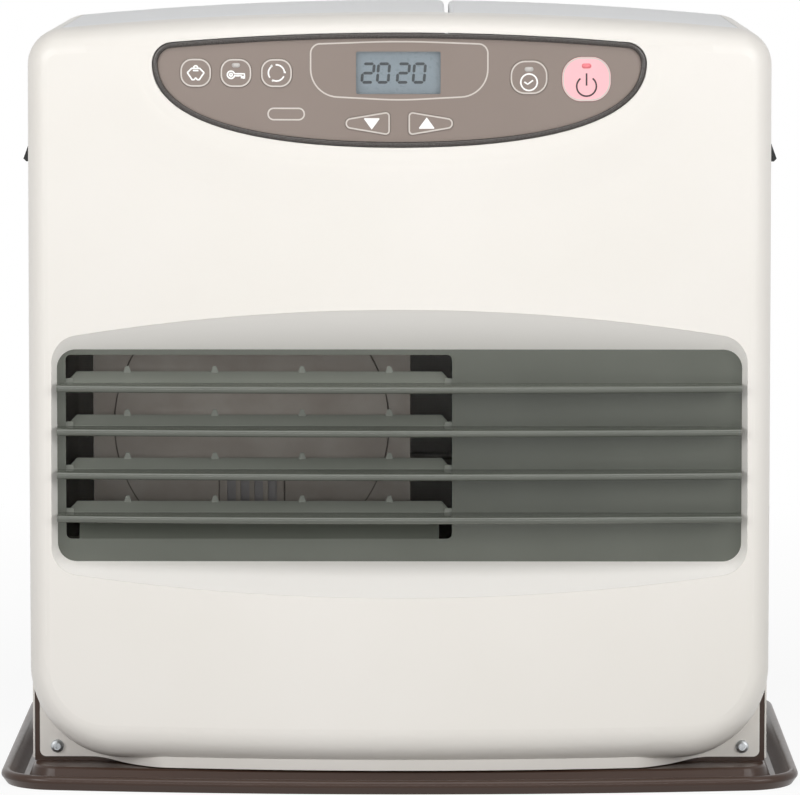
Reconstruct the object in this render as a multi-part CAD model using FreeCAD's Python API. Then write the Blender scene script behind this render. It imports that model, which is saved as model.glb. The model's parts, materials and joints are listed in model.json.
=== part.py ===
"""Electronic paraffin fan heater with a lift-out fuel tank, in millimetres.

Z is up, the front faces -Y, the origin is under the middle of the drip tray.
"""
import FreeCAD
import Part
import math
import os

# Whole object
HEIGHT = 429.0
TRAY_WIDTH = 445.0
TRAY_DEPTH = 310.0
BODY_WIDTH = 410.6
SHEET = 1.0
SEAM = 0.3
FIT = 0.1

# Drip tray
TRAY_BOW_R = 1400.0
TRAY_FRONT_R = 33.0
TRAY_REAR_R = 27.0
RIM_R = 2.9
RIM_TOP = 8.0
RIM_FOOT = 3.2
CHANNEL_OUT = 11.4
CHANNEL_IN = 14.4
PLATFORM_INSET = 19.3
PLATFORM_Z = 10.5

# Cabinet
FRONT_MARGIN = 4.0
COVER_DEPTH = 51.0
REAR_MARGIN = 31.0
CROWN_R = 2010.0
TOP_CORNER_R = 20.0
REAR_EDGE_R = 18.0
PANEL_FOOT = 1.5
TOP_DROP = 27.0
SLOT_X = 26.3
SLOT_WIDTH = 2.5
SLOT_EDGE_R = 3.0

# Front cover
BOW_R = 870.0
LEAN = 8.0
BELLY_Z = 110.0
FRONT_SPARE = 60.0
SPARE_RISE = 3.4
EDGE_R = 15.0
FOOT_R = 21.0
BULGE_Z = 15.0
LOW_CORNER_R = 52.0
LIP_INSET = 12.0
LIP_LIFT = 0.6
LIP_END_LIFT = 1.7
LIP_RISE_X = 146.0
LIP_BOW_X = 130.0
LIP_PLATE_X = 174.0
LIP_SIDE_GAP = 3.9
LIP_CORNER_R = 3.6

# Hot air outlet
OUTLET_HALF = 189.4
OUTLET_LOW = 125.6
OUTLET_TOP = 243.6
OUTLET_R = 10.5
OUTLET_DEPTH = 30.0
OUTLET_REACH = 42.0
UPPER_SLOPE = 0.87
LOWER_SLOPE = 0.557
SIDE_SLOPE = 0.35
PANEL_OVERLAP = 6.4
WINDOW_LEFT = -184.6
WINDOW_RIGHT = 29.1
WINDOW_LOW = 138.2
WINDOW_TOP = 240.6
WINDOW_R = 3.0
BAR_COUNT = 4
BAR_LOW_Z = 150.9
BAR_PITCH = 24.07
BAR_HALF = 188.8
BAR_BOW = 8.0
BAR_STAND = 12.0
BAR_TURN = 8.0
BEAD_R = 2.1
VANE_SHEET = 0.8
VANE_RISE = 5.5
VANE_RUN = 6.0
VANE_CHAMFER = 5.6
VANE_EAR = 4.0
TOOTH_FIRST_X = -150.8
TOOTH_PITCH = 48.4
TOOTH_COUNT = 4
TOOTH_WIDTH = 4.6
TOOTH_HEIGHT = 3.0
TONGUE_RUN = 4.0
TONGUE_RISE = 8.2
NOTCH_R = 3.6

# Control panel
PANEL_HALF = 135.3
PANEL_MARGIN = 9.9
PANEL_TALL = 62.3
PANEL_CROWN_R = 1400.0
PANEL_CORNER_R = 11.5
PANEL_FULL = 0.65
CUT_START = 30.0
CUT_REACH = 90.0
BEZEL_WIDTH = 2.8
BEZEL_PROUD = 0.6
BEZEL_BACK = 4.0
FASCIA_SINK = 1.2
FASCIA_BACK = 3.6
KEY_SINK = 0.7
KEY_BACK = 4.4
KEY_GAP = 0.25
KEY_TRAVEL = 0.8
KEY_ROW_DROP = 22.0
SMALL_KEY = (17.1, 15.5, 6.6)
TIMER_KEY = (20.4, 18.4, 8.0)
POWER_KEY = (26.6, 24.1, 10.6)
SMALL_KEY_X = (-111.4, -89.3, -67.1)
TIMER_X = 70.9
TIMER_DROP = 24.3
POWER_X = 102.4
POWER_DROP = 25.4
ARROW_X = 17.2
ARROW_DROP = 49.3
ARROW_LENGTH = 24.5
ARROW_HEIGHT = 12.6
ARROW_TIP_R = 3.1
ARROW_BACK_R = 2.4
DISPLAY_X = -0.5
DISPLAY_DROP = 21.8
DISPLAY_SIZE = (46.0, 23.0)
DISPLAY_R = 1.0
WINDOW_SINK = 1.5
WINDOW_BACK = 3.0
BOARD_THICK = 1.6
BOARD_HALF = 131.0
BOARD_DROP = 8.1
BOARD_TALL = 47.0
BOSS_R = 3.0
BOSS_SPOTS = ((126.5, 15.6), (84.0, 47.1))
SWITCH_HEIGHT = 3.4
SWITCH_SIDE = 6.0
STEM_R = 2.0

# Fasteners
SCREW_HEAD_R = 3.7
SCREW_HEAD = 2.4
SCREW_R = 1.8
SCREW_LENGTH = 6.0
CROSS_LENGTH = 4.0
CROSS_WIDTH = 0.9
CROSS_DEPTH = 1.3
FRONT_SCREW_INSET = 9.7
FRONT_SCREW_RISE = 7.5
REAR_SCREW_INSET = 6.3
REAR_SCREW_RISE = 28.0
REAR_SCREW_DROP = 22.0

# Base and inner walls
PAN_HEIGHT = 15.0
TAB_HEIGHT = 37.0
TAB_X = 160.0
PARTITION_X = 31.0
PARTITION_FLANGE = 8.0
FLANGE_WIDTH = 16.0
SHIELD_DROP = 50.0
SHIELD_SKIRT = 15.0

# Burner
BURNER_X = -83.5
BURNER_Y = -10.0
AIR_BOX_HALF = 50.0
AIR_BOX_HEIGHT = 48.0
POT_R = 42.0
POT_WALL = 3.0
POT_HEIGHT = 52.0
POT_FLANGE_R = 52.0
HEAD_R = 46.0
HEAD_HEIGHT = 14.0
PORT_COUNT = 24
PORT_WIDTH = 1.6
CHAMBER_HALF = 89.3
CHAMBER_HEIGHT = 172.0
CHAMBER_FRONT = 50.0
CHAMBER_REAR = 50.0
FLUE_SLOTS = 6
FLUE_PITCH = 24.0
FLUE_LENGTH = 16.0
FLUE_WIDTH = 12.0
FLUE_INSET = 10.0
DRUM_R = 77.0
DRUM_Z = 195.8
DRUM_PROUD = 1.4
VENT_SLOTS = 4
VENT_PITCH = 7.7
VENT_SLOT = 5.0
VENT_HALF = 18.0
VENT_LOW = 148.0
VENT_TOP = 172.0
VENT_RIM = 4.0
VENT_R = 2.0
IGNITER_R = 4.0
IGNITER_RISE = 10.0
ROD_R = 1.6
ROD_RISE = 26.0

# Combustion blower
BLOWER_SIDE_GAP = 39.3
BLOWER_Z = 58.0
BLOWER_FRONT = -18.0
BLOWER_WIDTH = 28.0
BLOWER_R = 30.0
IMPELLER_R = 26.0
IMPELLER_BLADES = 18
INTAKE_R = 15.0
BLOWER_MOTOR_R = 17.0
BLOWER_MOTOR_LENGTH = 30.0
BLOWER_SHAFT_R = 2.0

# Convection fan
FAN_X = -82.0
FAN_Z = 215.0
FAN_R = 72.0
FAN_HUB_R = 19.0
FAN_WIDTH = 17.0
FAN_BLADES = 5
BLADE_THICK = 1.4
FAN_MOTOR_R = 30.0
FAN_MOTOR_LENGTH = 17.0
FAN_SHAFT_R = 3.0
FAN_GAP = 3.0
GRILLE_RINGS = 6
GRILLE_FIRST_R = 34.0
GRILLE_PITCH = 8.0
GRILLE_SLOT = 4.5
GRILLE_SECTORS = 6
GRILLE_BRIDGE = 10.0

# Air filter
FILTER_HALF = 90.0
FILTER_FRAME = 8.0
FILTER_THICK = 5.0
FILTER_BAR = 1.2
FILTER_BARS = 9
RAIL_WALL = 2.0
RAIL_LIP = 5.0

# Fuel tank and its bay
TANK_WIDTH = 140.0
TANK_SIDE_GAP = 21.3
TANK_FRONT_GAP = 3.0
TANK_DEPTH = 136.0
TANK_BOTTOM = 100.0
TANK_DROP = 30.0
TANK_EDGE_R = 12.0
NECK_R = 20.0
NECK_LENGTH = 9.0
CAP_R = 26.0
CAP_FLOOR = 10.0
CAP_FLUTES = 16
FLUTE_R = 1.5
VALVE_R = 4.0
BAIL_WIRE_R = 2.5
BAIL_HALF = 48.0
BAIL_REACH = 36.0
BAIL_SHIFT = 4.0
BAIL_LIFT = 6.0
BAIL_BEND = 8.0
GRIP_R = 5.0
GRIP_HALF = 20.0
EAR_THICK = 4.0
GAUGE_R = 9.0
GAUGE_SPOT = (52.0, -51.0)
SUMP_LEFT_GAP = 8.0
SUMP_RIGHT_GAP = 15.3
SUMP_FRONT_GAP = 8.0
SUMP_REAR_GAP = 8.0
SUMP_TOP = 88.0
COLLAR_R = 36.0
COLLAR_BORE = 33.0
STRAINER_R = 30.8
STRAINER_DEPTH = 48.0
STRAINER_SEAT = 92.0
STRAINER_WALL = 0.8
VALVE_PIN_R = 3.0
VALVE_PIN_HEIGHT = 14.0
PUMP_INSET = 19.0
PUMP_R = 13.0
PUMP_HEIGHT = 52.0
PUMP_SUCTION = 60.0
PIPE_R = 2.0
PIPE_BEND = 10.0
PIPE_RISE = 20.0
PIPE_DROP_X = -18.0
PIPE_INLET_Z = 92.0

# Lid hinge
HINGE_X = (41.0, 160.0)
PIN_BORE = 20.0
HINGE_INSET = 5.0
HINGE_RISE = 3.0
PIN_R = 2.0
EAR_R = 5.0
HINGE_PLATE = 3.0
HINGE_PANEL_DROP = 7.5
LID_EAR_RUN = 19.0
HINGE_ROOM = 12.0

# Carrying grips
GRIP_Y = (-62.0, 22.0)
GRIP_DROP = 44.0
GRIP_TALL = 36.0
GRIP_DEPTH = 17.0
GRIP_WALL = 1.5
GRIP_FLANGE = 4.0
HOOD_REACH = 6.0
HOOD_TALL = 14.0
HOOD_TIP = 1.6

# Boards and small parts
SUPPLY_BOARD = (-150.0, -10.0, -80.0, 40.0)
STANDOFF = 5.0
TRANSFORMER = (-60.0, -14.0, -30.0, 10.0, 34.0)
THERMOSTAT_X = -120.0
THERMOSTAT_INSET = 54.0
THERMOSTAT_R = 10.0
TILT_SIDE = 26.0
TILT_TALL = 30.0
TILT_SIDE_GAP = 15.3
TILT_REAR_GAP = 37.0
GLAND_AT = (-150.0, 45.0)
GLAND_R = 7.0
GLAND_BORE = 3.6
GLAND_INNER = 6.0
GLAND_OUTER = 12.0
SENSOR_X = 150.0
SENSOR_DROP = 102.0

# Places that follow from the sizes
V = FreeCAD.Vector
HALF = BODY_WIDTH / 2
FRONT_Y = FRONT_MARGIN - TRAY_DEPTH / 2
SPLIT_Y = FRONT_Y + COVER_DEPTH
REAR_Y = TRAY_DEPTH / 2 - REAR_MARGIN
REAR_IN = REAR_Y - SHEET
FLOOR_Z = PLATFORM_Z + SHEET
PANEL_Z = PLATFORM_Z + PANEL_FOOT
TOP_SPLIT_Z = HEIGHT - TOP_DROP
SIDE_TURN = HALF - REAR_EDGE_R
OUTLET_Y = FRONT_Y + OUTLET_DEPTH
LIP_Z = PLATFORM_Z + LIP_LIFT
PLATE_Y = SPLIT_Y - SHEET
LIP_HALF = HALF - LIP_SIDE_GAP
FRONT_SCREW_X = LIP_HALF - FRONT_SCREW_INSET
FRONT_SCREW_Z = LIP_Z + FRONT_SCREW_RISE
REAR_SCREW_X = SIDE_TURN - REAR_SCREW_INSET
REAR_SCREW_Z = (PANEL_Z + REAR_SCREW_RISE, FAN_Z, TOP_SPLIT_Z - REAR_SCREW_DROP)
PANEL_TOP = HEIGHT - PANEL_MARGIN
PANEL_BOTTOM = PANEL_TOP - PANEL_TALL
KEY_ROW_Z = PANEL_TOP - KEY_ROW_DROP
ARROW_Z = PANEL_TOP - ARROW_DROP
DISPLAY_AT = (DISPLAY_X, PANEL_TOP - DISPLAY_DROP)
BOARD_TOP = PANEL_TOP - BOARD_DROP
BAR_ZS = [BAR_LOW_Z + BAR_PITCH * i for i in range(BAR_COUNT)]
BOX_TOP = FLOOR_Z + AIR_BOX_HEIGHT
POT_TOP = BOX_TOP + POT_HEIGHT
CHAMBER_TOP = POT_TOP + CHAMBER_HEIGHT
CHAMBER_Y = BURNER_Y - CHAMBER_FRONT
FILTER_Y = REAR_Y + SEAM
FILTER_LOW = FAN_Z - FILTER_HALF
LID_LEFT = SLOT_X + SLOT_WIDTH / 2
PLATE_RIGHT = SLOT_X - SLOT_WIDTH / 2
HINGE_Y = REAR_Y - HINGE_INSET
HINGE_Z = TOP_SPLIT_Z + HINGE_RISE
SHIELD_Z = TOP_SPLIT_Z - SHIELD_DROP
BLOWER_X = BLOWER_SIDE_GAP - HALF
TANK_X = HALF - TANK_SIDE_GAP - TANK_WIDTH / 2
TANK_FRONT = SPLIT_Y + TANK_FRONT_GAP
TANK_Y = TANK_FRONT + TANK_DEPTH / 2
TANK_TOP = TOP_SPLIT_Z - TANK_DROP
BAIL_Y = TANK_Y - BAIL_SHIFT
BAIL_Z = TANK_TOP + BAIL_LIFT
SUMP_LEFT = PARTITION_X + SHEET + SUMP_LEFT_GAP
SUMP_RIGHT = HALF - SUMP_RIGHT_GAP
SUMP_FRONT = SPLIT_Y + SUMP_FRONT_GAP
SUMP_REAR = REAR_IN - SUMP_REAR_GAP
PUMP_Y = SUMP_REAR - PUMP_INSET
GRIP_TOP = TOP_SPLIT_Z - GRIP_DROP
GRIP_LOW = GRIP_TOP - GRIP_TALL
HOOD_Z = GRIP_TOP - HOOD_TALL
PIPE_Z = SUMP_TOP + PUMP_HEIGHT + PIPE_RISE


def across(y):
    """Place flat (x, z) points on the upright plane at depth y."""
    return lambda u, v: V(u, y, v)


def level(z):
    """Place flat (x, y) points on the level plane at height z."""
    return lambda u, v: V(u, v, z)


def sideways(x):
    """Place flat (y, z) points on the upright plane at x."""
    return lambda u, v: V(x, u, v)


def edge(*points):
    """Straight edge through two points, or an arc through three."""
    kind = Part.Arc if len(points) == 3 else Part.LineSegment
    return kind(*points).toShape()


def wire(segments, place):
    """Wire of flat segments: two points make a line, three make an arc."""
    return Part.Wire([edge(*[place(u, v) for u, v in points]) for points in segments])


def polygon(points, place):
    """Closed outline with straight sides."""
    corners = [place(u, v) for u, v in points]
    return Part.makePolygon(corners + corners[:1])


def hull(circles, place):
    """Closed outline stretched round circles (u, v, radius), given anticlockwise."""
    touch = []
    for (u0, v0, r0), (u1, v1, r1) in zip(circles, circles[1:] + circles[:1]):
        length = math.hypot(u1 - u0, v1 - v0)
        along = ((u1 - u0) / length, (v1 - v0) / length)
        lean = (r0 - r1) / length
        out = math.sqrt(1.0 - lean ** 2)
        touch.append((along[0] * lean + along[1] * out, along[1] * lean - along[0] * out))
    segments = []
    for i, (u, v, r) in enumerate(circles):
        start = touch[i - 1]
        end = touch[i]
        first = math.atan2(start[1], start[0])
        half = (math.atan2(end[1], end[0]) - first) % (2 * math.pi) / 2
        middle = (math.cos(first + half), math.sin(first + half))
        segments.append([(u + n[0] * r, v + n[1] * r) for n in (start, middle, end)])
        u1, v1, r1 = circles[(i + 1) % len(circles)]
        segments.append([(u + end[0] * r, v + end[1] * r), (u1 + end[0] * r1, v1 + end[1] * r1)])
    return wire(segments, place)


def rounded(us, vs, radius, place):
    """Rectangle between the pairs us and vs, with round corners."""
    u0, u1 = us[0] + radius, us[1] - radius
    v0, v1 = vs[0] + radius, vs[1] - radius
    return hull([(u0, v0, radius), (u1, v0, radius), (u1, v1, radius), (u0, v1, radius)], place)


def prism(outline, reach):
    """Solid made by pushing a closed outline along a vector."""
    return Part.Face(outline).extrude(reach)


def box(x, y, z):
    """Box between the pairs x, y and z."""
    return Part.makeBox(x[1] - x[0], y[1] - y[0], z[1] - z[0], V(x[0], y[0], z[0]))


def rod(radius, start, end):
    """Round bar between two points."""
    line = end - start
    return Part.makeCylinder(radius, line.Length, start, line)


def turned(profile, base, axis, out):
    """Solid of revolution of (radius, height) points about an axis through base."""
    points = [base + out * r + axis * h for r, h in profile]
    return Part.Face(Part.makePolygon(points + points[:1])).revolve(base, axis, 360)


def bent(points, bend):
    """Wire along points with its corners rounded."""
    edges = []
    last = points[0]
    for a, b, c in zip(points, points[1:], points[2:]):
        back = (a - b).normalize()
        onward = (c - b).normalize()
        half = back.getAngle(onward) / 2
        inward = (back + onward).normalize()
        start = b + back * (bend / math.tan(half))
        end = b + onward * (bend / math.tan(half))
        edges.append(edge(last, start))
        edges.append(edge(start, b + inward * (bend / math.sin(half) - bend), end))
        last = end
    edges.append(edge(last, points[-1]))
    return Part.Wire(edges)


def swept(path, radius):
    """Round wire along a path."""
    first = path.Edges[0]
    start = first.valueAt(first.FirstParameter)
    ring = Part.makeCircle(radius, start, first.tangentAt(first.FirstParameter))
    return path.makePipeShell([Part.Wire(ring)], True, True)


def mirrored(shape):
    """The same shape on the other side of the middle."""
    return shape.mirror(V(0, 0, 0), V(1, 0, 0))


def arch_corner(half, crown_r, crown_v, corner_r, inset):
    """Start, middle and end of the round corner between an arch and a straight side."""
    reach = crown_r - corner_r
    corner_u = half - corner_r
    corner_v = crown_v - crown_r + math.sqrt(reach ** 2 - corner_u ** 2)
    angle = math.acos(corner_u / reach)
    radius = corner_r - inset
    turns = (angle, angle / 2, 0.0)
    return [(corner_u + radius * math.cos(a), corner_v + radius * math.sin(a)) for a in turns]


def arched_outline(half, crown_r, crown_v, corner_r, base_v, base_r, inset, place):
    """Closed outline with an arched side, two straight sides and a straight base."""
    right = arch_corner(half, crown_r, crown_v, corner_r, inset)
    left = [(-u, v) for u, v in right]
    side = half - inset
    base = base_v + inset
    low = max(base_r - inset, 0.0)
    foot = [(0.0, base), (side - low, base)]
    segments = [foot]
    if low > 0:
        dip = low * (1.0 - math.sqrt(0.5))
        segments.append([(side - low, base), (side - dip, base + dip), (side, base + low)])
    segments.append([(side, base + low), right[2]])
    segments.append(right[::-1])
    segments.append([right[0], (0.0, crown_v - inset), left[0]])
    segments.append(left)
    segments.append([left[2], (-side, base + low)])
    if low > 0:
        segments.append([(-side, base + low), (-side + dip, base + dip), (-side + low, base)])
    segments.append([(-side + low, base), (0.0, base)])
    return wire(segments, place)


def tray_outline(inset, z):
    """The tray's plan outline, bowed at the front, drawn in by inset."""
    deep = TRAY_DEPTH / 2
    return arched_outline(TRAY_WIDTH / 2, TRAY_BOW_R, deep, TRAY_FRONT_R, -deep, TRAY_REAR_R,
                          inset, lambda u, v: V(u, -v, z))


def drip_tray():
    """Pressed tray: rolled rim, drip channel and a raised platform."""
    bead_z = RIM_TOP - RIM_R
    low = math.radians(200)
    high = math.radians(35)
    outer = (RIM_R + RIM_R * math.cos(low), bead_z + RIM_R * math.sin(low))
    inner = (RIM_R + RIM_R * math.cos(high), bead_z + RIM_R * math.sin(high))
    slope = PLATFORM_INSET - CHANNEL_IN
    section = [
        [(RIM_FOOT, 0.0), outer],
        [outer, (RIM_R * 0.3, bead_z + RIM_R * 0.714), (RIM_R, RIM_TOP)],
        [(RIM_R, RIM_TOP), (RIM_R * 1.5, bead_z + RIM_R * 0.866), inner],
        [inner, (CHANNEL_OUT, SHEET)],
        [(CHANNEL_OUT, SHEET), (CHANNEL_IN, SHEET)],
        [(CHANNEL_IN, SHEET), (CHANNEL_IN + slope * 0.75, PLATFORM_Z - SHEET)],
        [(CHANNEL_IN + slope * 0.75, PLATFORM_Z - SHEET), (PLATFORM_INSET, PLATFORM_Z)],
        [(PLATFORM_INSET, PLATFORM_Z), (PLATFORM_INSET + SHEET, PLATFORM_Z)],
        [(PLATFORM_INSET + SHEET, PLATFORM_Z), (PLATFORM_INSET + SHEET, PLATFORM_Z - SHEET)],
        [(PLATFORM_INSET + SHEET, PLATFORM_Z - SHEET), (PLATFORM_INSET, PLATFORM_Z - SHEET)],
        [(PLATFORM_INSET, PLATFORM_Z - SHEET), (CHANNEL_IN + SHEET, 0.0)],
        [(CHANNEL_IN + SHEET, 0.0), (RIM_FOOT, 0.0)],
    ]
    profile = wire(section, lambda u, v: V(0.0, TRAY_DEPTH / 2 - u, v))
    ring = tray_outline(0.0, 0.0).makePipeShell([profile], True, False)
    plate = prism(tray_outline(PLATFORM_INSET + SHEET, PLATFORM_Z - SHEET), V(0, 0, SHEET))
    return ring.fuse(plate).removeSplitter()


def base_pan():
    """Shallow pan on the tray, with upright tabs behind the cover's corner plates."""
    half = HALF - SHEET - FIT
    back = REAR_IN - FIT
    outer = box((-half, half), (SPLIT_Y, back), (PLATFORM_Z, FLOOR_Z + PAN_HEIGHT))
    inner = box((SHEET - half, half - SHEET), (SPLIT_Y + SHEET, back - SHEET), (FLOOR_Z, HEIGHT))
    inner = inner.common(cabinet_form(2 * SHEET + FIT))
    pan = outer.common(cabinet_form(SHEET + FIT)).cut(inner)
    for side in (-1, 1):
        ends = sorted((side * TAB_X, side * half))
        tab = box(ends, (SPLIT_Y, SPLIT_Y + SHEET), (FLOOR_Z, FLOOR_Z + TAB_HEIGHT))
        start = V(side * FRONT_SCREW_X, SPLIT_Y - SHEET, FRONT_SCREW_Z)
        pan = pan.fuse(tab).cut(rod(SCREW_R + FIT, start, start + V(0, 3 * SHEET, 0)))
    return pan.removeSplitter()


def cabinet_form(inset):
    """The cabinet's outer form behind the front cover, drawn in by inset."""
    start = SPLIT_Y + SEAM - 10 * inset
    base = PANEL_Z - 20 * inset
    outline = arched_outline(HALF, CROWN_R, HEIGHT, TOP_CORNER_R, base, 0.0, inset, across(start))
    back = REAR_Y - inset
    form = prism(outline, V(0, back - start, 0))
    rear = [e for e in form.Edges if e.BoundBox.YMin > back - 0.01 and e.BoundBox.ZMax > PANEL_Z + 50]
    return form.makeFillet(REAR_EDGE_R - inset, rear)


def side_panel(shell):
    """Right side panel, turned over the top corner and round the rear corner."""
    panel = shell.common(box((SIDE_TURN, HALF + 1), (SPLIT_Y, REAR_Y + 1), (0, HEIGHT)))
    flange = box((SIDE_TURN - FLANGE_WIDTH + SHEET, SIDE_TURN + 5 * SHEET), (REAR_IN - SHEET, REAR_IN),
                 (REAR_SCREW_Z[0] - 2 * SCREW_HEAD_R, REAR_SCREW_Z[-1] + 2 * SCREW_HEAD_R))
    panel = panel.fuse(flange)
    for z in REAR_SCREW_Z:
        panel = panel.cut(rod(SCREW_R + FIT, V(REAR_SCREW_X, REAR_IN - 3, z), V(REAR_SCREW_X, REAR_Y, z)))
    mouth = box((SIDE_TURN, HALF + 1), GRIP_Y, (GRIP_LOW, GRIP_TOP))
    return panel.cut(mouth).removeSplitter()


def grip():
    """Right carrying grip: a cup for the fingers under a sloping hood."""
    y0, y1 = GRIP_Y
    gap = FIT
    cup = box((HALF - GRIP_DEPTH, HALF), (y0 + gap, y1 - gap), (GRIP_LOW + gap, GRIP_TOP - gap))
    edge_y = (y0 - GRIP_FLANGE, y1 + GRIP_FLANGE)
    edge_z = (GRIP_LOW - GRIP_FLANGE, GRIP_TOP + GRIP_FLANGE)
    flange = prism(rounded(edge_y, edge_z, GRIP_FLANGE, sideways(HALF)), V(GRIP_WALL, 0, 0))
    tip = HALF + HOOD_REACH
    slope = [(HALF, HOOD_Z), (tip - HOOD_TIP, HOOD_Z), (tip, HOOD_Z + HOOD_TIP),
             (HALF + GRIP_WALL, GRIP_TOP), (HALF, GRIP_TOP)]
    hood = prism(polygon(slope, across(y0)), V(0, y1 - y0, 0))
    wall = GRIP_WALL + gap
    inside = (HALF - GRIP_DEPTH + GRIP_WALL, HALF - GRIP_WALL)
    mouth = box((inside[0], HALF + HOOD_REACH), (y0 + wall, y1 - wall), (GRIP_LOW + wall, HOOD_Z))
    hollow = box(inside, (y0 + wall, y1 - wall), (GRIP_LOW + wall, GRIP_TOP - wall))
    return cup.fuse([flange, hood]).cut(mouth.fuse(hollow)).removeSplitter()


def top_piece(left, right, slot_side, low):
    """One half of the top, with its edges turned down and a rolled edge at the slot."""
    solids = []
    for inset in (0.0, SHEET):
        x = (left + inset, right - inset)
        depth = (SPLIT_Y + SEAM + inset, REAR_Y + 1)
        block = cabinet_form(inset).common(box(x, depth, (low - 10 * inset, HEIGHT + 1)))
        at = x[0] if slot_side < 0 else x[1]
        rolled = [e for e in block.Edges if abs(e.BoundBox.XMin - at) < 0.01
                  and abs(e.BoundBox.XMax - at) < 0.01 and e.BoundBox.ZMin > HEIGHT - 5
                  and e.BoundBox.YLength > 50]
        solids.append(block.makeFillet(SLOT_EDGE_R - inset, rolled))
    return solids[0].cut(solids[1])


def hinge_eye(x, thick, top_y, top_z):
    """Plate round the lid's hinge axis, reaching to a level edge at top_z."""
    place = sideways(x)
    disc = rod(EAR_R, V(x, HINGE_Y, HINGE_Z), V(x + thick, HINGE_Y, HINGE_Z))
    ends = sorted((HINGE_Z, top_z))
    arm = [(top_y[0], ends[0]), (top_y[1], ends[0]), (top_y[1], ends[1]), (top_y[0], ends[1])]
    return disc.fuse(prism(polygon(arm, place), V(thick, 0, 0)))


def lid_ear_x(i):
    """X of the lid ear next to hinge bracket i, on its inner side."""
    inner = HINGE_X[i] + HINGE_PLATE + FIT * 3
    return inner if i == 0 else HINGE_X[i] - HINGE_PLATE - FIT * 3


def tank_lid():
    """Hinged lid over the fuel tank."""
    lid = top_piece(LID_LEFT, SIDE_TURN - SEAM, -1, TOP_SPLIT_Z + SEAM)
    for i, x in enumerate(HINGE_X):
        room = (x - 2 * HINGE_PLATE, x + 3 * HINGE_PLATE)
        lid = lid.cut(box(room, (REAR_IN - 3, REAR_Y + 1), (0, HINGE_Z + 2 * EAR_R)))
        ear = hinge_eye(lid_ear_x(i), HINGE_PLATE, (HINGE_Y - LID_EAR_RUN, HINGE_Y - 2 * EAR_R), HEIGHT)
        bridge = box((lid_ear_x(i), lid_ear_x(i) + HINGE_PLATE), (HINGE_Y - LID_EAR_RUN, HINGE_Y),
                     (HINGE_Z - EAR_R, HINGE_Z + EAR_R))
        lid = lid.fuse(ear.fuse(bridge).common(cabinet_form(SHEET / 2)))
    for x in HINGE_X:
        ends = (V(x - PIN_BORE, HINGE_Y, HINGE_Z), V(x + PIN_BORE, HINGE_Y, HINGE_Z))
        lid = lid.cut(rod(PIN_R + FIT, *ends))
    return lid.removeSplitter()


def lid_hinge_pins():
    """Two headed pins in the rear panel's brackets."""
    pins = []
    for i, x in enumerate(HINGE_X):
        way = 1 if i == 0 else -1
        outer = x if i == 0 else x + HINGE_PLATE
        head = V(outer, HINGE_Y, HINGE_Z)
        pin = rod(PIN_R, head, head + V(way * (2 * HINGE_PLATE + 1.5), 0, 0))
        pins.append(pin.fuse(rod(PIN_R + 1.2, head, head - V(way * 1.2, 0, 0))))
    return Part.makeCompound(pins)


def annular_slot(radius, start, sweep):
    """Curved slot round the fan's axis, cut through the rear panel."""
    place = across(REAR_IN - 1)
    points = []
    for r, turns in ((radius, (0.0, 0.5, 1.0)), (radius + GRILLE_SLOT, (1.0, 0.5, 0.0))):
        angles = [math.radians(start + sweep * t) for t in turns]
        points.append([(FAN_X + r * math.cos(a), FAN_Z + r * math.sin(a)) for a in angles])
    near, far = points
    return prism(wire([near, (near[2], far[0]), far, (far[2], near[0])], place), V(0, 2 + SHEET, 0))


def filter_rails():
    """Two upright channels and a foot that hold the air filter."""
    side = FILTER_HALF + SEAM
    deep = FILTER_THICK + 2 * SEAM
    rails = []
    for way in (-1, 1):
        wall = sorted((FAN_X + way * side, FAN_X + way * (side + RAIL_WALL)))
        lip = sorted((FAN_X + way * (side - RAIL_LIP), FAN_X + way * (side + RAIL_WALL)))
        tall = (FILTER_LOW - RAIL_WALL, FAN_Z + FILTER_HALF - 10)
        rails.append(box(wall, (REAR_Y, REAR_Y + deep), tall))
        rails.append(box(lip, (REAR_Y + deep, REAR_Y + deep + RAIL_WALL), tall))
    foot = box((FAN_X - side, FAN_X + side), (REAR_Y, REAR_Y + deep), (FILTER_LOW - RAIL_WALL, FILTER_LOW))
    return rails + [foot]


def rear_panel(shell):
    """Rear panel with the fan's inlet slots, filter rails and hinge brackets."""
    side = SIDE_TURN - SEAM
    panel = shell.common(box((-side, side), (REAR_IN - 1, REAR_Y + 1), (0, TOP_SPLIT_Z - SEAM)))
    lid_room = box((PLATE_RIGHT, side + 1), (REAR_IN - 1, REAR_Y + 1), (HINGE_Z - HINGE_PANEL_DROP, HEIGHT))
    panel = panel.cut(lid_room)
    sector = 360.0 / GRILLE_SECTORS
    cuts = []
    for ring in range(GRILLE_RINGS):
        for k in range(GRILLE_SECTORS):
            start = sector * k + GRILLE_BRIDGE / 2
            cuts.append(annular_slot(GRILLE_FIRST_R + GRILLE_PITCH * ring, start, sector - GRILLE_BRIDGE))
    for x in (-REAR_SCREW_X, REAR_SCREW_X):
        for z in REAR_SCREW_Z:
            cuts.append(rod(SCREW_R + FIT, V(x, REAR_IN - 1, z), V(x, REAR_Y + 1, z)))
    gland = V(GLAND_AT[0], REAR_IN - 1, GLAND_AT[1])
    cuts.append(rod(GLAND_R, gland, gland + V(0, 2 + SHEET, 0)))
    panel = panel.cut(cuts).fuse(filter_rails())
    for x in HINGE_X:
        low = HINGE_Z - HINGE_PANEL_DROP - 12
        bracket = hinge_eye(x, HINGE_PLATE, (HINGE_Y - EAR_R, REAR_IN), low)
        bore = rod(PIN_R, V(x - 1, HINGE_Y, HINGE_Z), V(x + HINGE_PLATE + 1, HINGE_Y, HINGE_Z))
        panel = panel.fuse(bracket).cut(bore)
    return panel.removeSplitter()


def lean_at(z):
    """How far the front leans back at height z."""
    return LEAN * ((z - BELLY_Z) / (HEIGHT - BELLY_Z)) ** 2


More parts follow.
